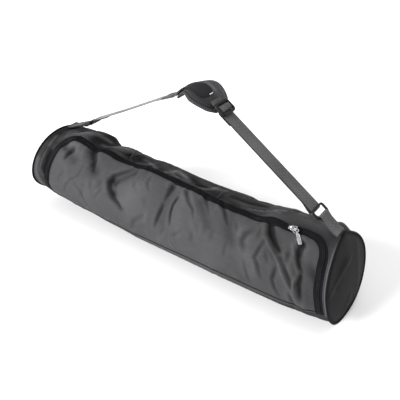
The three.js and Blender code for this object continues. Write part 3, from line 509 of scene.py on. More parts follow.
FINE_PITCH, THREAD_PITCH = (0.0006, 0.0006), (0.0003, 0.0003)
CLOTH = woven("cloth", (0.05, 0.05, 0.052), specular=0.07)
# The back and end cloths are darker than the front cloth: partly their own colour, partly painted shade on
# the top and on the ends
BACK_CLOTH = woven("back_cloth", (0.024, 0.024, 0.025), crumple=0.6, specular=0.04)
CAP_CLOTH = woven("cap_cloth", (0.014, 0.014, 0.015), roughness=0.55, crumple=0.35, specular=0.04)
DARK_CLOTH = woven("dark_cloth", (0.016, 0.016, 0.017), roughness=0.7, crumple=0.3, specular=0.08)
PAD_CLOTH = woven("pad_cloth", (0.046, 0.046, 0.048), (0.0022, 0.0022), roughness=0.75, spread=0.35,
                  specular=0.06, grain=0.3)
WEBBING = woven("webbing", (0.075, 0.075, 0.078), (0.0016, 0.0026), rib=0.8, sheen=0.05, spread=0.5,
                crumple=0.12, grain=0.3)
TAPE = woven("tape", (0.006, 0.006, 0.007), (0.0006, 0.0009), roughness=0.7, crumple=0.1,
             specular=0.04)
PIPING = woven("piping", (0.005, 0.005, 0.006), FINE_PITCH, crumple=0.2, specular=0.06)
THREAD = woven("thread", (0.012, 0.012, 0.013), THREAD_PITCH, roughness=0.5, crumple=0.1,
               specular=0.06)
# Pale thread of the strap's bar tack, which partly stands in for a glint: a painted highlight
PALE_GLINT_THREAD = woven("pale_glint_thread", (0.75, 0.75, 0.76), THREAD_PITCH, roughness=0.5, sheen=0.05,
                     crumple=0.1)
TEETH = moulded("teeth", (0.008, 0.008, 0.009), 0.5, specular=0.12)
PLASTIC = moulded("plastic", (0.006, 0.006, 0.007), 0.4, specular=0.16)
NICKEL = metal("nickel", (0.48, 0.48, 0.5), 0.26)


# Meshes

def linked(name, data):
    item = bpy.data.objects.new(name, data)
    bpy.context.scene.collection.objects.link(item)
    return item


def new_piece(name, verts, faces, uvs, material, slot, replaces=(), body="bag", tone=None):
    """A piece from a mesh. Both layers of a wall share one tone for each point, the painted light and
    shade that scales the colour.
    """
    mesh = bpy.data.meshes.new(name)
    mesh.from_pydata((np.asarray(verts) * MM).tolist(), [], faces.tolist())
    if tone is not None:
        values = np.resize(np.asarray(tone, np.float32), len(verts))
        mesh.attributes.new("tone", "FLOAT", "POINT").data.foreach_set("value", values)
    layer = mesh.uv_layers.new(name="UVMap")
    layer.data.foreach_set("uv", (np.asarray(uvs) * MM).astype(np.float32).ravel())
    mesh.validate()
    mesh.shade_smooth()
    mesh.set_sharp_from_angle(angle=math.radians(40))
    mesh.materials.append(material)
    piece = linked(name, mesh)
    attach(piece, body)
    if replaces:
        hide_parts(*replaces)
    return piece


def wall(outer, inner, uv, keep=None, ring=False):
    """Closed wall over a grid of points. A ring's last row of points repeats its first."""
    columns, rows = outer.shape[0] - 1, outer.shape[1] - 1
    points = rows if ring else rows + 1
    ids = np.arange((columns + 1) * points).reshape(columns + 1, points)
    if ring:
        ids = np.concatenate((ids, ids[:, :1]), 1)
    keep = np.ones((columns, rows), bool) if keep is None else keep
    count = (columns + 1) * points
    verts = np.concatenate([layer[:, :points].reshape(-1, 3) for layer in (outer, inner)])
    i, j = np.nonzero(keep)
    corners = [(i, j), (i + 1, j), (i + 1, j + 1), (i, j + 1)]
    faces = [
        np.stack([ids[c] for c in corners], 1),
        np.stack([ids[c] + count for c in corners[::-1]], 1),
    ]
    uvs = [np.stack([uv[c] for c in corners], 1), np.stack([uv[c] for c in corners[::-1]], 1)]
    framed = np.zeros((columns + 2, rows + 2), bool)
    framed[1:-1, 1:-1] = keep
    if ring:
        framed[1:-1, 0] = keep[:, -1]
        framed[1:-1, -1] = keep[:, 0]
    sides = (((0, -1), (0, 0), (1, 0)), ((1, 0), (1, 0), (1, 1)),
             ((0, 1), (1, 1), (0, 1)), ((-1, 0), (0, 1), (0, 0)))
    for (di, dj), (ai, aj), (bi, bj) in sides:
        bare = keep & ~framed[1 + di:1 + di + columns, 1 + dj:1 + dj + rows]
        i, j = np.nonzero(bare)
        a, b = (i + ai, j + aj), (i + bi, j + bj)
        faces.append(np.stack([ids[a] + count, ids[b] + count, ids[b], ids[a]], 1))
        uvs.append(np.stack([uv[a], uv[b], uv[b], uv[a]], 1))
    return verts, np.concatenate(faces), np.concatenate(uvs).reshape(-1, 2)


def hoop(points, closed=True):
    """Tube from sections of points: closed joins the last section to the first."""
    sections, sides = points.shape[:2]
    last = sections if closed else sections - 1
    i, j = (k.ravel() for k in np.meshgrid(range(last), range(sides), indexing="ij"))
    middles = points.mean(1)
    run = run_of(np.concatenate((middles, middles[:1])))
    round_step = np.linalg.norm(points[0, 1] - points[0, 0])
    corners = [(i, j), (i + 1, j), (i + 1, j + 1), (i, j + 1)]
    faces = np.stack([(a % sections) * sides + b % sides for a, b in corners], 1)
    uvs = np.stack([np.stack((run[a], b * round_step), 1) for a, b in corners], 1)
    return points.reshape(-1, 3), faces, uvs.reshape(-1, 2)


def scatter(shape, faces, origins, axes, scales):
    """Copies of one small shape: axes are three unit vectors for each copy."""
    placed = np.einsum("vk,nk,nkc->nvc", shape, scales, axes) + origins[:, None]
    shift = (np.arange(len(origins)) * len(shape))[:, None, None]
    all_faces = (faces[None] + shift).reshape(-1, faces.shape[1])
    uvs = np.tile(shape[faces][..., :2].reshape(-1, 2), (len(origins), 1))
    return placed.reshape(-1, 3), all_faces, uvs


THREAD_RINGS = ((-0.5, 0.25), (-0.32, 0.85), (0.0, 1.0), (0.32, 0.85), (0.5, 0.25))


def spindle(rings=THREAD_RINGS, sides=6):
    """Short thread or bar along X, from rings of place and thickness, as triangles."""
    verts = [(x, r * math.cos(t) / 2, r * math.sin(t) / 2) for x, r in rings for t in full_turn(sides)]
    last = len(verts) - sides
    start, end = len(verts), len(verts) + 1
    verts += [(rings[0][0], 0, 0), (rings[-1][0], 0, 0)]
    faces = []
    for j in range(sides):
        k = (j + 1) % sides
        for i in range(0, last, sides):
            faces.append((i + k + sides, i + j + sides, i + j))
            faces.append((i + k + sides, i + j, i + k))
        faces.append((start, k, j))
        faces.append((end, last + j, last + k))
    return np.array(verts), np.array(faces)


def resampled(points, pitch):
    """Evenly spaced points on a path, the direction at each, and its share of the length."""
    run = run_of(points)
    count = max(int(round(run[-1] / pitch)), 2)
    at = (np.arange(count) + 0.5) / count * run[-1]
    direction = between(at + 0.5, run, points) - between(at - 0.5, run, points)
    return between(at, run, points), unit(direction), at / run[-1]


def stitches(path, normals, length=2.6, gap=0.9, width=0.6, sink=0.05):
    """Thread stitches along a path on cloth."""
    place, direction, share = resampled(path, length + gap)
    normal = between(share, np.linspace(0, 1, len(normals)), normals)
    side = unit(np.cross(normal, direction))
    normal = np.cross(direction, side)
    axes = np.stack((direction, side, normal), 1)
    scales = np.tile((length, width, width * 0.8), (len(place), 1))
    return scatter(*spindle(), place - sink * normal, axes, scales)


def merged(parts):
    """Several shapes as one."""
    verts, faces, uvs, start = [], [], [], 0
    for v, f, u in parts:
        verts.append(v)
        faces.append(f + start)
        uvs.append(u)
        start += len(v)
    return np.concatenate(verts), np.concatenate(faces), np.concatenate(uvs)


# The tube of cloth

CORNER_STEPS, TOP_COLUMNS, LEG_ROWS, BACK_ROWS = 18, 330, 104, 112
LEFT_GUSSET, RIGHT_GUSSET = 14, 4
CAP_SPOKES, CAP_RINGS = 180, 34


def zip_top(offset):
    """The zip's course over the top with both corners, moved outwards by an offset."""
    left, right = ZIP_LEFT + ZIP_CORNER, ZIP_RIGHT - ZIP_CORNER
    turn = np.arange(CORNER_STEPS) / CORNER_STEPS * math.pi / 2
    reach = ZIP_CORNER + offset

    def corner(middle, side):
        foot = table_value(ZIP_LINE, 1, middle / HALF_LENGTH) - angle_of(ZIP_CORNER)
        return middle + side * reach * np.cos(turn), foot + angle_of(reach * np.sin(turn))

    start, end = corner(left, -1), corner(right, 1)
    along = left + (right - left) * np.linspace(0, 1, TOP_COLUMNS + 1)
    angle = table_value(ZIP_LINE, 1, along / HALF_LENGTH) + angle_of(offset)
    return (np.concatenate((start[0], along, end[0][::-1])),
            np.concatenate((start[1], angle, end[1][::-1])))


def seam_angle(along):
    return table_value(SEAM_LINE, 1, along / HALF_LENGTH)


def zip_course(offset):
    """The zip's whole course, with the legs down to the bottom seam at both ends."""
    along, angle = zip_top(offset)
    share = np.arange(LEG_ROWS) / LEG_ROWS

    def leg(k):
        foot = seam_angle(along[k]) + angle_of(SEAM_GAP)
        return np.full(LEG_ROWS, along[k]), foot + (angle[k] - foot) * share

    left, right = leg(0), leg(-1)
    return (np.concatenate((left[0], along, right[0][::-1])),
            np.concatenate((left[1], angle, right[1][::-1])))


# How fast the painted shading of the cloth changes with its height in millimetres, and its darkest painted
# shade in folds and in all
TONE_HEIGHT, FOLD_SHARE, FOLD_DARK, DARKEST = 5.0, 0.65, -0.5, -0.85


def cloth_tone(along, angle, lift, shades, contrast):
    """Painted light and shade: cloth painted lighter on its crests and darker deep in its creases, and
    along the given strokes.
    """
    height = lift - FOLD_SHARE * fold_lift(along, angle)
    tone = np.clip(contrast * height / TONE_HEIGHT, FOLD_DARK, 0.4 * contrast)
    arc = arc_of(angle)
    for width, value, points in shades:
        tone += value * bell(off_course(along, arc, points)[0], width)
    return np.maximum(tone, DARKEST)


def cloth_wall(along, angle, lift, **grid):
    outer, inner = bag_point(along, angle, 0, lift), bag_point(along, angle, WALL, lift)
    return wall(outer, inner, np.stack((along, arc_of(angle)), -1), **grid)


def front_panel():
    along, top = zip_top(-ZIP_EDGE)
    foot = seam_angle(along) + angle_of(SEAM_GAP)
    share = np.linspace(0, 1, LEG_ROWS + 1)
    angle = foot[:, None] + (top - foot)[:, None] * share
    along = along[:, None] + 0 * angle
    lift = cloth_lift(along, angle)
    # Painted shade: the front cloth is painted darker towards its right end
    tone = cloth_tone(along, angle, lift, FRONT_PAINTED_SHADING, 0.8) - 0.25 * smooth(along, 60, 240)
    new_piece("front_cloth", *cloth_wall(along, angle, lift), CLOTH, "cloth", ("front_panel",),
              tone=tone)


def back_panel():
    along, top = zip_top(ZIP_EDGE)
    end = HALF_LENGTH - PIPING_RADIUS - CLEARANCE
    left = np.linspace(-end, along[0], LEFT_GUSSET, endpoint=False)
    right = np.linspace(end, along[-1], RIGHT_GUSSET, endpoint=False)[::-1]
    course = np.concatenate((left, along, right))
    top = np.concatenate((np.full(len(left), top[0]), top, np.full(len(right), top[-1])))
    seam = seam_angle(course)
    low = np.linspace(0, 1, LEG_ROWS, endpoint=False)
    high = np.linspace(0, 1, BACK_ROWS + 1)
    angle = np.concatenate((seam[:, None] + (top - seam)[:, None] * low,
                            top[:, None] + (seam + 360 - top)[:, None] * high), 1)
    grid = course[:, None] + 0 * angle
    columns = len(course) - 1
    column = np.arange(columns)[:, None]
    row = np.arange(LEG_ROWS + BACK_ROWS)[None]
    keep = (row >= LEG_ROWS) | (column < LEFT_GUSSET) | (column >= columns - RIGHT_GUSSET)
    lift = cloth_lift(grid, angle)
    shape = cloth_wall(grid, angle, lift, keep=keep, ring=True)
    # Painted light and shade is strongest from the zip over the top, and weaker round the back
    contrast = 3.2 - 2.4 * smooth(angle, 112, 150)
    tone = cloth_tone(grid, angle, lift, BACK_PAINTED_SHADING, contrast)
    # Painted light: the strip of back cloth beside the right end cord, below the zip, is painted lighter,
    # most of all against the cord
    right_rim_painted_light = 0.4 * smooth(grid, 305, 312) + 1.6 * smooth(grid, 313.5, 316)
    tone += smooth(80 - angle, 0, 30) * right_rim_painted_light
    new_piece("back_cloth", *shape, BACK_CLOTH, "cloth", ("back_panel",), tone=tone[:, :-1])


# Ridges and dents of the end discs, with a painted highlight on the ridges and painted shade in the dents:
# side, from spoke angle and ring share to the same, width, lift
CAP_RIDGES = (
    (1, 106, 0.44, 6, 0.86, 4.0, 1.6),
    (1, 60, 0.5, 20, 0.6, 12.0, -1.6),
    (1, -89, 0.48, -60, 0.84, 4.0, 1.4),
    (1, 140, 0.7, 240, 0.8, 9.0, 1.2),
    (-1, 110, 0.6, 215, 0.5, 8.0, -1.6),
    (-1, 60, 0.8, -40, 0.4, 8.0, 1.4),
)


def end_cap(side, name, node):
    """End disc from its rim to a small middle."""
    spokes = 360 * np.arange(CAP_SPOKES + 1) / CAP_SPOKES
    rim_depth = PIPING_RADIUS - PIPING_OUT + CLEARANCE
    rim = bag_point(side * HALF_LENGTH, spokes, rim_depth)
    middle = (rim[0] + rim[CAP_SPOKES // 2]) / 2
    share = np.linspace(0.004, 1, CAP_RINGS + 1)
    flat = middle + (rim[None] - middle) * share[:, None, None]
    lift = CAP_BULGE * (1 - share[:, None] ** 2) * np.ones(CAP_SPOKES + 1)
    # Painted shade: the disc is painted darker just inside its rim, beside the end cord
    tone = -0.5 * smooth(share[:, None], 0.93, 0.98) * np.ones(lift.shape)
    y, z = flat[..., 1] - middle[1], flat[..., 2] - middle[2]
    for end, turn, ring_share, to_turn, to_share, width, height in CAP_RIDGES:
        if end != side:
            continue
        start, stop = (
            (-RADIUS * s * math.cos(math.radians(t)), RADIUS * s * math.sin(math.radians(t)))
            for t, s in ((turn, ring_share), (to_turn, to_share))
        )
        away, _ = off_line(y, z, start, stop)
        ridge = height * bell(away, width) * smooth(1 - share[:, None], 0, 0.12)
        lift += ridge
        # Painted highlight on the ridges and painted shade in the dents
        tone += np.where(ridge > 0, 0.5, 0.25) * ridge
    layers = []
    for layer in (0.5, -0.5):
        grid = flat.copy()
        grid[..., 0] += side * (lift + layer * WALL)
        layers.append(grid)
    *grids, tone = (np.swapaxes(g, 0, 1)[::side] for g in (*layers, np.stack((y, z), -1), tone))
    new_piece(name, *wall(*grids), CAP_CLOTH, "cloth", (node,), tone=tone)


def piping(side, name, node):
    turn = full_turn(12)
    spokes = (360 * np.arange(CAP_SPOKES) / CAP_SPOKES)[:, None]
    points = bag_point(side * HALF_LENGTH, spokes, -PIPING_OUT - PIPING_RADIUS * np.cos(turn))
    points[..., 0] += side * PIPING_RADIUS * np.sin(turn)
    if side > 0:
        points = points[:, ::-1]
    new_piece(name, *hoop(points), PIPING, "black_tape", (node,))


RIBBON_ROWS, COIL_BED_DEPTH = 4, 0.1


def ribbon(inner_offset, outer_offset, top):
    """Strip along the zip's course, between two offsets from it."""
    near, far = zip_course(inner_offset), zip_course(outer_offset)
    share = np.linspace(0, 1, RIBBON_ROWS + 1)
    along, angle = (a[:, None] + (b - a)[:, None] * share for a, b in zip(near, far))
    outer, inner = bag_point(along, angle, top), bag_point(along, angle, CLEARANCE + TAPE_THICKNESS)
    across = (outer_offset - inner_offset) * share
    uv = np.stack(np.broadcast_arrays(run_of(outer[:, 0])[:, None], across[None]), -1)
    return wall(outer, inner, uv)


def zip_ribbons():
    coil, edge = COIL_WIDTH / 2, ZIP_EDGE - CLEARANCE
    for name, inner, outer, top, node in (
        ("zip_tape_lower", -edge, -coil - CLEARANCE, CLEARANCE, "zip_tape_front"),
        ("zip_tape_upper", coil + CLEARANCE, edge, CLEARANCE, "zip_tape_back"),
        ("zip_coil_bed", -coil, coil, COIL_BED_DEPTH, "zip_coil"),
    ):
        new_piece(name, *ribbon(inner, outer, top), TAPE, "black_tape", (node,))


TOOTH_PITCH, TOOTH_SIZE, TOOTH_RISE = 1.5, (2.5, 0.85, 1.1), 0.25
TOOTH_RINGS = ((-0.5, 0.5), (-0.36, 1.0), (0.36, 1.0), (0.5, 0.6))


def zip_teeth():
    """Two rows of teeth, half a pitch apart."""
    rows = []
    for end in (-1, 1):
        near, far = zip_course(end * 0.2), zip_course(end * (COIL_WIDTH / 2 - 0.1))
        middle = [(a + b) / 2 for a, b in zip(near, far)]
        inner, path, outer = (bag_point(*course, -TOOTH_RISE) for course in (near, middle, far))
        place, direction, share = resampled(path, TOOTH_PITCH)
        across = unit(between(share, np.linspace(0, 1, len(path)), outer - inner))
        axes = np.stack((across, direction, np.cross(direction, across)), 1)
        place = place + direction * (TOOTH_PITCH / 4 * end)
        scales = np.tile(TOOTH_SIZE, (len(place), 1))
        rows.append(scatter(*spindle(TOOTH_RINGS), place, axes, scales))
    new_piece("zip_teeth", *merged(rows), TEETH, "black_tape")


def course_on_cloth(course):
    """Points of a course on the cloth, and the cloth's outward direction there."""
    points = bag_point(*course)
    return points, unit(bag_point(*course, -1) - points)


# How far stitches lie from the zip, the end cords and the two edges of the bottom seam
ZIP_INSET, END_INSET, HEM_INSET, SEAM_INSET = 2.2, 5.2, 2.4, 3.0
RIDGE_RADIUS, RIDGE_SINK = 0.9, 0.2


def hem_line():
    """The visible row of the bottom seam."""
    along, _ = zip_top(-ZIP_EDGE)
    return along, np.maximum(table_value(HEM_LINE, 1, along), seam_angle(along) + angle_of(2.0))


def seam_stitches():
    spokes = np.linspace(0, 360, 361)
    along, hem = hem_line()
    for name, courses in (
        ("zip_stitches", [zip_course(side * (ZIP_EDGE + ZIP_INSET)) for side in (-1, 1)]),
        ("end_stitches", [(0 * spokes + side * (HALF_LENGTH - END_INSET), spokes) for side in (-1, 1)]),
        ("bottom_stitches", [(along, hem - angle_of(HEM_INSET)),
                             (along, seam_angle(along) - angle_of(SEAM_INSET))]),
    ):
        rows = [stitches(*course_on_cloth(course)) for course in courses]
        new_piece(name, *merged(rows), THREAD, "black_tape")


def bottom_seam_ridge():
    """Ridge along the bottom seam, thin at both ends."""
    along, hem = hem_line()
    turn, row = full_turn(8), np.arange(len(along))
    reach = RIDGE_RADIUS * np.minimum(1, 0.02 + 0.3 * np.minimum(row, row[::-1]))[:, None]
    angle = hem[:, None] + angle_of(reach * np.sin(turn))
    points = bag_point(along[:, None], angle, -RIDGE_SINK - reach * np.cos(turn))
    new_piece("bottom_seam_ridge", *hoop(points, closed=False), PIPING, "black_tape")


# Webbing

def strap_side(x):
    return STRAP_Y + (LEFT_TAB_Y - STRAP_Y) * np.clip(x / LEFT_RING[0], 0, 1)


def line_frame(start, toward):
    along = np.subtract(toward, start)
    along = along / np.linalg.norm(along)
    off = np.array((-along[1], along[0]))
    return lambda a, b: np.asarray(start) + a * along + b * off


def half_turn(line, a, b, radius, forward=1):
    turn = np.linspace(0, math.pi, 17)
    return [line(a + forward * radius * math.sin(t), b + radius * math.cos(t)) for t in turn]


def rounded(route, reach):
    """A route with its corners cut twice, so that the webbing bends softly."""
    points = [np.asarray(p, float) for p in route]
    for cut in (reach, reach / 2):
        result = [points[0]]
        for before, here, after in zip(points[:-2], points[1:-1], points[2:]):
            for other in (before, after):
                step = other - here
                result.append(here + step * min(cut / max(np.linalg.norm(step), 1e-9), 0.25))
        points = [*result, points[-1]]
    return np.array(points)


WEB_STEPS, WEB_PITCH, LEAST_STEP = 26, 3.0, 0.05


def webbing(route, width=WEB_WIDTH, thickness=WEB_THICKNESS, soften=0.8):
    """Flat webbing that follows a route in the strap's upright plane, with rounded edges."""
    route = rounded(route, soften)
    run = run_of(route)
    at = np.unique(np.round(np.concatenate((run, np.arange(0, run[-1], WEB_PITCH))), 3))
    at = at[np.concatenate(((True,), np.diff(at) > LEAST_STEP))]
    route = between(at, run, route)
    tangent = unit(np.gradient(route, at, axis=0))
    normal = np.stack((-tangent[:, 1], tangent[:, 0]), 1)
    across = np.sin(np.linspace(-math.pi / 2, math.pi / 2, WEB_STEPS + 1))
    edge = np.clip((1 - np.abs(across)) * width / 2 / (thickness * 0.6), 0, 1)
    profile = thickness / 2 * (0.35 + 0.65 * np.sqrt(1 - (1 - edge) ** 2))
    layers = []
    for layer in (1, -1):
        place = route[:, None] + layer * normal[:, None] * profile[None, :, None]
        y = strap_side(place[..., 0]) + across * width / 2
        layers.append(np.stack((place[..., 0], y, place[..., 1]), -1))
    uv = np.stack(np.broadcast_arrays(at[:, None], (across * width / 2)[None]), -1)
    return (*wall(*layers, uv), at / at[-1])


def web_piece(name, route, material, slot, node, shade=lambda at: 0 * at, **sizes):
    """A piece of webbing painted lighter or darker by the share of its length, and painted darker along
    both edges, as painted light and shade.
    """
    *shape, at = webbing(route, **sizes)
    across = np.linspace(-1, 1, len(shape[0]) // (2 * len(at)))
    # Painted shade along both edges, most on the near edge
    tone = shade(at)[:, None] - 0.75 * smooth(-across, 0.8, 0.96) - 0.4 * smooth(across, 0.9, 1)
    new_piece(name, *shape, material, slot, (node,), tone=tone)


def tab_feet(side):
    edge = side * (HALF_LENGTH - PIPING_RADIUS - CLEARANCE - PIPING_RADIUS)
    middle = RADIUS * SECTIONS[0 if side < 0 else -1][4]
    turn = 90 + angle_of((LEFT_TAB_Y if side < 0 else STRAP_Y) - middle)
    spread = angle_of(WEB_WIDTH / 2)
    feet = []
    for back in (0, TAB_SEAT):
        places = bag_point(edge - side * back, turn + spread * np.array((-1, 0, 1)))
        rise = (LAYER_STEP + WEB_THICKNESS) / 2 + CLEARANCE
        feet.append(np.array((places[1, 0], places[:, 2].max() + rise)))
    return feet


def tab_route(side, ring, toward):
    bar = line_frame(ring, toward)(-RING_REACH, 0)
    edge, foot = tab_feet(side)
    line = line_frame(foot, bar)
    reach = np.linalg.norm(bar - foot)
    apart = LAYER_STEP / 2
    upper = 1 if side < 0 else -1
    shift = np.array((0, apart))
    return [
        edge + shift,
        foot + shift,
        line(reach - FOLD_RUN, upper * apart),
        *half_turn(lambda a, b: line(a, upper * b), reach, 0, LOOP_RADIUS),
        line(reach - FOLD_RUN, -upper * apart),
        foot - shift,
        edge - shift,
    ]


SLOT_END = MIDDLE_BAR / 2 + SLIDER_SLOT
STACK_UNDER = SLIDER_THICKNESS / 2 + LAYER_STEP + 2 * CLEARANCE + BINDING_RADIUS + PAD_DROP
PAD_END = line_frame(SLIDER, RIGHT_RING)(-SLOT_END - SLIDER_BAR / 2, -STACK_UNDER)
RISE = PAD_RISE * np.array((math.cos(math.radians(PAD_SLOPE)), math.sin(math.radians(PAD_SLOPE))))
PAD_LINE = (np.array(PAD_TIP), np.array(PAD_TIP) + RISE, PAD_END + RISE * (-1, 1), PAD_END)
PAD_COLUMNS = 12

# Near and far half width of the pad from its left tip to its right end, as shares
PAD_OUTLINE = (
    (0.0, 0.14, 0.14), (0.2, 0.46, 0.58), (0.45, 0.84, 1.0), (0.65, 0.95, 1.1), (0.85, 0.8, 1.0),
    (0.95, 0.58, 0.8), (1.0, 0.33, 0.5),
)


def pad_curve(at):
    """Points of the curve through the middle of the pad, and its direction there."""
    at = np.asarray(at, float)[..., None]
    points = PAD_LINE
    while len(points) > 2:
        points = [a + (b - a) * at for a, b in zip(points, points[1:])]
    start, end = points
    return start + (end - start) * at, unit(end - start)


def pad_point(at, side, off):
    """A point of the pad: along it, to its far side, and so high over its middle."""
    at, side, off = np.broadcast_arrays(np.asarray(at, float), side, off)
    _, slope = pad_curve(np.clip(at, 0, 1))
    up = np.stack((-slope[..., 1], slope[..., 0]), -1)
    droop = np.where(side < 0, PAD_DROOP, 0.5 * PAD_DROOP) * (side / PAD_HALF) ** 2
    place = pad_curve(at)[0] + up * (off - droop)[..., None]
    return np.stack((place[..., 0], STRAP_Y + PAD_SHIFT + side, place[..., 1]), -1)


def pad_flat(at, off):
    point = pad_point(at, 0, off)
    return np.array((point[0], point[2]))


def pad_half(at, side=1):
    """Half width of the pad on one side: a smooth curve through its outline."""
    steps, near, far = np.array(PAD_OUTLINE).T
    after = np.clip(np.searchsorted(steps, at), 1, len(steps) - 1)
    low, high = steps[after - 1], steps[after]
    t = (np.asarray(at, float) - low) / (high - low)
    halves = []
    for values in (near, far):
        slopes = np.gradient(values, steps)
        start = (1 + 2 * t) * (1 - t) ** 2 * values[after - 1] + t ** 2 * (3 - 2 * t) * values[after]
        turn = (1 - t) ** 2 * t * slopes[after - 1] - t ** 2 * (1 - t) * slopes[after]
        halves.append(PAD_HALF * (start + (high - low) * turn))
    return np.where(np.asarray(side) < 0, *halves)


def strap_tip():
    return pad_flat(-0.04, BINDING_RADIUS + CLEARANCE + WEB_THICKNESS / 2)


ON_PAD = PAD_THICKNESS / 2 + CLEARANCE + WEB_THICKNESS / 2


def left_route():
    line = line_frame(LEFT_RING, LEG_BEND)
    start = line(RING_REACH + FOLD_RUN, LOOP_RADIUS)
    leg = line_frame(start, LEG_BEND)
    return [
        leg(LEFT_TAIL, -LAYER_STEP),
        leg(0, -LAYER_STEP),
        *half_turn(line, RING_REACH, 0, LOOP_RADIUS, -1)[::-1],
        start,
        np.array(LEG_BEND),
        np.array(LEG_TOP),
        strap_tip(),
        *(pad_flat(k / PAD_COLUMNS, ON_PAD) for k in (1, 2)),
    ]


def right_route():
    line = line_frame(SLIDER, RIGHT_RING)
    leg = math.dist(SLIDER, RIGHT_RING) - RING_REACH
    bar, slot = MIDDLE_BAR / 2, SLOT_END
    rise = slot - WEB_THICKNESS / 2

    def under(layer):
        return -(SLIDER_THICKNESS / 2 + CLEARANCE + WEB_THICKNESS / 2 + layer * LAYER_STEP)

    return [
        pad_flat(10.8 / PAD_COLUMNS, ON_PAD),
        line(-slot - 2 * SLIDER_BAR, under(0)),
        line(-rise, under(0)),
        line(-rise + SLOT_EDGE, 0),
        line(-bar - OVER_BAR, -under(1)),
        line(bar + OVER_BAR, -under(1)),
        line(rise - SLOT_EDGE, 0),
        line(rise, under(0)),
        line(slot + FOLD_RUN, under(0)),
        line(leg - FOLD_RUN, under(0)),
        *half_turn(line, leg, under(0) - LOOP_RADIUS, LOOP_RADIUS),
        line(leg - 2 * FOLD_RUN, under(1)),
        line(slot + SLOT_EDGE, under(1)),
        *(line(*turn) for turn in BAR_TURNS),
        line(slot + RIGHT_TAIL, under(2)),
    ]


def strap_pieces():
    # Painted light and shade: the left tab and the under layers of the right strap are painted darker, and
    # the left strap lighter where it climbs to the pad
    rows = (
        ("left_tab_web", tab_route(-1, LEFT_RING, LEG_BEND), "left_tab", lambda at: -0.5 + 0 * at),
        ("right_tab_web", tab_route(1, RIGHT_RING, SLIDER), "right_tab", lambda at: 0 * at),
        ("left_strap_web", left_route(), "strap_left", lambda at: 1.6 * smooth(at, 0.2, 0.32) - 0.5),
        ("right_strap_web", right_route(), "strap_right", lambda at: -0.75 * smooth(at, 0.5, 0.54)),
    )
    for name, route, node, shade in rows:
        web_piece(name, route, WEBBING, "webbing", node, shade)


PAD_LENGTH = run_of(pad_curve(np.linspace(0, 1, 50))[0])[-1]
QUILT_PITCH, QUILT_PUFF = 9.0, 0.54
PATCH_START, PATCH_RUN, PATCH_NEAR, PATCH_MIDDLE = 0.12, 0.68, -0.66, -0.2


def pad_thickness(at, spread):
    full = np.maximum(1 - spread ** 2, 0) * np.minimum(1, 4 * np.minimum(at, 1 - at))
    return PAD_EDGE + (PAD_THICKNESS - PAD_EDGE) * np.sqrt(full)


def patch_far(at):
    """Far edge of the patch, as a share of the pad's half width."""
    return -0.12 + 0.4 * smooth(at, 0.2, 0.6)


def pad_cushion():
    """The padded cushion, quilted in diamonds."""
    at = np.linspace(0, 1, 97)[:, None]
    across = np.linspace(-1, 1, 73)[None]
    along, side = at * PAD_LENGTH, pad_half(at, across) * across
    quilt = np.abs(np.sin((along + side) * math.pi / QUILT_PITCH)
                   * np.sin((along - side) * math.pi / QUILT_PITCH))
    puff = QUILT_PUFF * (quilt ** 0.5 - 0.7) * smooth(1 - np.abs(across), 0.0, 0.12)
    half = pad_thickness(at, across) / 2 + puff
    uv = np.stack(np.broadcast_arrays(along, side), -1)
    # Painted light and shade: the far side of the cushion is painted lighter and its near side darker,
    # with a painted highlight just past the patch's far edge
    near_side_painted_shade = 0.35 * smooth(-across, 0.2, 0.8)
    far_side_painted_light = 0.5 * smooth(across, -0.1, 0.3) + smooth(across, 0.86, 0.98)
    beside_patch_painted_light = 1.5 * bell(across - patch_far(at) - 0.09, 0.08) * smooth(0.84 - at, 0, 0.1)
    cushion = new_piece("pad_cushion", *wall(pad_point(at, side, half), pad_point(at, side, -half), uv),
                        PAD_CLOTH, "dark_cloth", ("shoulder_pad",),
                        tone=far_side_painted_light - near_side_painted_shade + beside_patch_painted_light)


def pad_middle():
    """The smooth patch on the cushion, with a raised and stitched border."""
    share = np.linspace(0, 1, 81)[:, None]
    at = PATCH_START + PATCH_RUN * share
    half, far = pad_half(at), patch_far(at)
    across = PATCH_NEAR + (far - PATCH_NEAR) * np.linspace(0, 1, 49)[None]
    from_end = np.minimum(share, 1 - share)
    rounded_end = 0.45 + 0.55 * np.minimum(1, from_end * 9) ** 0.5
    side = half * ((across - PATCH_MIDDLE) * rounded_end + PATCH_MIDDLE)
    off = pad_thickness(at, side / half) / 2 + PATCH_LIFT
    inset = np.minimum(across - PATCH_NEAR, far - across)
    border = np.minimum(from_end * 90, inset * PAD_HALF)
    groove = 0.5 * bell(border, 1.6) - 0.4 * bell(border - 2.6, 0.7)
    layers = pad_point(at, side, off + PATCH_THICKNESS + groove), pad_point(at, side, off)
    uv = np.stack(np.broadcast_arrays(at * PAD_LENGTH, side), -1)
    # Painted highlight along the patch's far edge, and painted shade in the groove of its border
    tone = 5.0 * bell((far - across) * PAD_HALF, 3.2) - 0.2 * bell(border, 2.0)
    new_piece("pad_middle", *wall(*layers, uv), DARK_CLOTH, "dark_cloth", ("pad_patch",), tone=tone)


def strap_tack_painted_glint():
    """Short bar of pale thread across the strap where it lies on the pad: partly a bar tack, partly a
    painted highlight for a glint there.
    """
    bar = [pad_point(0.8, -PAD_SHIFT + k, 6.6) for k in np.linspace(-4, 4, 12)]
    up = pad_point(0.8, 0, 8) - pad_point(0.8, 0, 7)
    new_piece("strap_tack_painted_glint", *stitches(bar, [up, up], 1.6, -0.4, 1.5), PALE_GLINT_THREAD, "webbing")


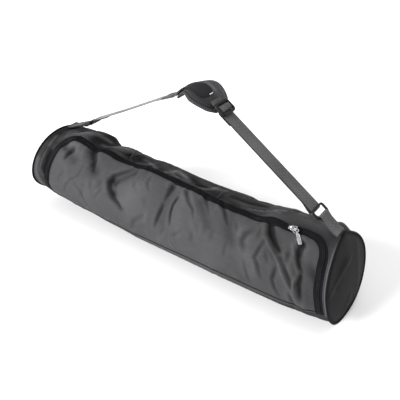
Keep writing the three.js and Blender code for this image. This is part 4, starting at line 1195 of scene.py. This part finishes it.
def pad_edge():
    """Cord round the pad's outline."""
    steps = np.linspace(0, 1, 61)
    at = np.concatenate((steps, steps[::-1]))
    side = np.repeat((-1, 1), len(steps))
    outline = np.stack((at * PAD_LENGTH, pad_half(at, side) * side), 1)
    into = unit(outline - np.roll(outline, 1, 0))
    run = unit(into + unit(np.roll(outline, -1, 0) - outline))
    miter = 1 / np.maximum((run * into).sum(1), 0.7)
    turn = full_turn(12)
    reach = (miter * (SEAM_GAP + BINDING_RADIUS))[:, None] + BINDING_RADIUS * np.cos(turn)
    place = outline[:, None] + np.stack((run[:, 1], -run[:, 0]), 1)[:, None] * reach[..., None]
    points = pad_point(place[..., 0] / PAD_LENGTH, place[..., 1], BINDING_RADIUS * np.sin(turn))
    # Painted light: the cord is painted lighter along the pad's far side
    new_piece("pad_edge", *hoop(points), PAD_CLOTH, "webbing", ("pad_binding",),
              tone=1.1 * smooth(place[..., 1], -6, 14))


def pad_sleeve():
    """Sleeve where the strap enters the pad."""
    tip = strap_tip()
    line = line_frame(LEG_TOP, tip)
    reach = math.dist(LEG_TOP, tip) - TONGUE_GAP
    off = WEB_THICKNESS / 2 + CLEARANCE + TONGUE_THICKNESS / 2
    route = [line(reach - TONGUE_LENGTH * (1 - k), off) for k in (0, 0.5, 1)]
    web_piece("pad_sleeve", route, PAD_CLOTH, "dark_cloth", "pad_tongue", lambda at: 1.1 + 0 * at,
              width=WEB_WIDTH + 2, thickness=TONGUE_THICKNESS, soften=1.4)


# Hard pieces: moulded loops, and metal pieces from the solids with rounded edges

def moulded_loop(name, node, place, toward, bars, middle_bar=0):
    """A rounded plastic loop lying across the strap, with or without a bar in its middle."""
    line = line_frame(place, toward)
    middle = (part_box(node)[0][1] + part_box(node)[1][1]) / 2 / MM
    reach, half, end_bar, side_bar, height, rise, corner = bars
    turn = np.linspace(0, math.pi / 2, 9)
    path, out = [], []
    for k, (end, side) in enumerate(((1, 1), (-1, 1), (-1, -1), (1, -1))):
        normal = np.stack((np.cos(turn + k * math.pi / 2), np.sin(turn + k * math.pi / 2)), 1)
        path.append(np.array((end * (reach - corner), side * (half - corner))) + corner * normal)
        out.append(normal)
    path, out = np.concatenate(path), np.concatenate(out)
    round_it = full_turn(14)
    shape = [np.sign(f) * np.abs(f) ** 0.75 for f in (np.cos(round_it), np.sin(round_it))]
    width = side_bar + (end_bar - side_bar) * np.abs(out[:, 0]) ** 2

    def placed(flat, up):
        a, b = flat[..., 0], np.broadcast_to(up, flat.shape[:-1])
        spot = np.stack([line(x, y) for x, y in zip(a.ravel(), b.ravel())])
        return np.stack((spot[:, 0], middle + flat[..., 1].ravel(), spot[:, 1]), 1).reshape(*a.shape, 3)

    flat = path[:, None] + out[:, None] * (width[:, None] / 2 * shape[0])[..., None]
    parts = [hoop(placed(flat, rise + height / 2 * shape[1])[:, ::-1])]
    if middle_bar:
        ends = half * np.array((-1, -0.99, -0.9, 0, 0.9, 0.99, 1))
        scale = np.array((0.05, 0.8, 1, 1, 1, 0.8, 0.05))[:, None]
        flat = np.stack((scale * middle_bar / 2 * shape[0], ends[:, None] + 0 * shape[0]), -1)
        parts.append(hoop(placed(flat, scale * SLIDER_THICKNESS / 2 * shape[1])[:, ::-1], closed=False))
    new_piece(name, *merged(parts), PLASTIC, "black_plastic", (node,))


def bevelled(name, node, material, width, body="bag"):
    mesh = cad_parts[node].data.copy()
    piece = linked(name, mesh)
    mesh.materials.clear()
    mesh.materials.append(material)
    for modifier, settings in (
        ("WELD", {"merge_threshold": 1e-6}),
        ("DECIMATE", {"decimate_type": "DISSOLVE", "angle_limit": math.radians(1)}),
        ("BEVEL", {"width": width * MM, "segments": 3, "limit_method": "ANGLE",
                   "angle_limit": math.radians(38)}),
    ):
        step = piece.modifiers.new(modifier.lower(), modifier)
        for key, value in settings.items():
            setattr(step, key, value)
    bpy.context.view_layer.update()
    evaluated = piece.evaluated_get(bpy.context.evaluated_depsgraph_get())
    result = bpy.data.meshes.new_from_object(evaluated)
    piece.modifiers.clear()
    piece.data = result
    result.shade_smooth()
    result.set_sharp_from_angle(angle=math.radians(30))
    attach(piece, body)
    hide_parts(node)


def hard_pieces():
    side_bar = 4.6
    half = WEB_WIDTH / 2 + 0.7 + side_bar / 2
    ring = (RING_REACH, half, RING_BAR, side_bar, RING_THICKNESS + 0.6, 0, 3.6)
    moulded_loop("left_ring_frame", "left_ring", LEFT_RING, LEG_BEND, ring)
    moulded_loop("right_ring_frame", "right_ring", RIGHT_RING, SLIDER, ring)
    moulded_loop("strap_slider_frame", "strap_slider", SLIDER, RIGHT_RING,
                 (SLOT_END + SLIDER_BAR / 2 + 0.2, half, 5.2, side_bar, 5.8, 1.7, 4.4), MIDDLE_BAR)
    bevelled("zip_slider_body", "zip_slider", NICKEL, 0.25)
    bevelled("zip_link_wire", "zip_link", NICKEL, 0.3, "pull")
    bevelled("zip_pull_tab", "zip_pull", NICKEL, 0.25, "pull")


front_panel()
back_panel()
end_cap(-1, "left_end_cloth", "left_cap")
end_cap(1, "right_end_cloth", "right_cap")
piping(-1, "left_end_piping", "left_piping")
piping(1, "right_end_piping", "right_piping")
zip_ribbons()
zip_teeth()
seam_stitches()
bottom_seam_ridge()
strap_pieces()
pad_cushion()
pad_middle()
strap_tack_painted_glint()
pad_edge()
pad_sleeve()
hard_pieces()


# Floor, lights and camera

FLOOR_HALF, FLOOR_SINK, FLOOR_GREYS = 9.0, 0.0005, (0.86, 0.89)
WORLD_STRENGTH = 0.72
# Direction to the light, strength and spread
SUNS = {"key": ((-0.55, -1.0, 0.5), 5.6, 24), "top": ((0.3, 0.6, 1.6), 1.2, 60)}
CAMERA_PLACE, CAMERA_AIM = Vector((0.5181, -0.6675, 0.6690)), Vector((0.042, 0, 0.116))
FOCAL_PIXELS, PICTURE_PIXELS, SENSOR, FAR_CLIP = 548, 400, 36.0, 60


def floor():
    mesh = bpy.data.meshes.new("floor")
    corners = ((-1, -1), (1, -1), (1, 1), (-1, 1))
    mesh.from_pydata([(x * FLOOR_HALF, y * FLOOR_HALF, 0) for x, y in corners], [], [(0, 1, 2, 3)])
    item = linked("floor", mesh)
    item.location.z = -FLOOR_SINK
    material, tree, shader = node_material("floor", 0.9, specular=0.1)
    tint = noise(tree, tree.nodes.new("ShaderNodeTexCoord").outputs["Object"], 3.0)
    low, high = ((grey, grey, grey) for grey in FLOOR_GREYS)
    tree.links.new(ramp(tree, tint, ((0.3, low), (0.7, high))), shader.inputs["Base Color"])
    mesh.materials.append(material)


def studio():
    world = bpy.data.worlds.new("studio")
    world.use_nodes = True
    background = world.node_tree.nodes["Background"]
    background.inputs["Color"].default_value = (1, 1, 1, 1)
    background.inputs["Strength"].default_value = WORLD_STRENGTH
    bpy.context.scene.world = world
    bpy.context.scene.view_settings.view_transform = "Standard"
    for name, (direction, power, spread) in SUNS.items():
        data = bpy.data.lights.new(name, "SUN")
        data.energy = power
        data.angle = math.radians(spread)
        linked(name, data).rotation_euler = (-Vector(direction)).to_track_quat("-Z", "Y").to_euler()


def camera():
    data = bpy.data.cameras.new("camera")
    data.sensor_width = SENSOR
    data.lens = SENSOR * FOCAL_PIXELS / PICTURE_PIXELS
    data.clip_end = FAR_CLIP
    item = linked("camera", data)
    item.location = CAMERA_PLACE
    item.rotation_euler = (CAMERA_AIM - CAMERA_PLACE).to_track_quat("-Z", "Y").to_euler()
    bpy.context.scene.camera = item


floor()
studio()
camera()
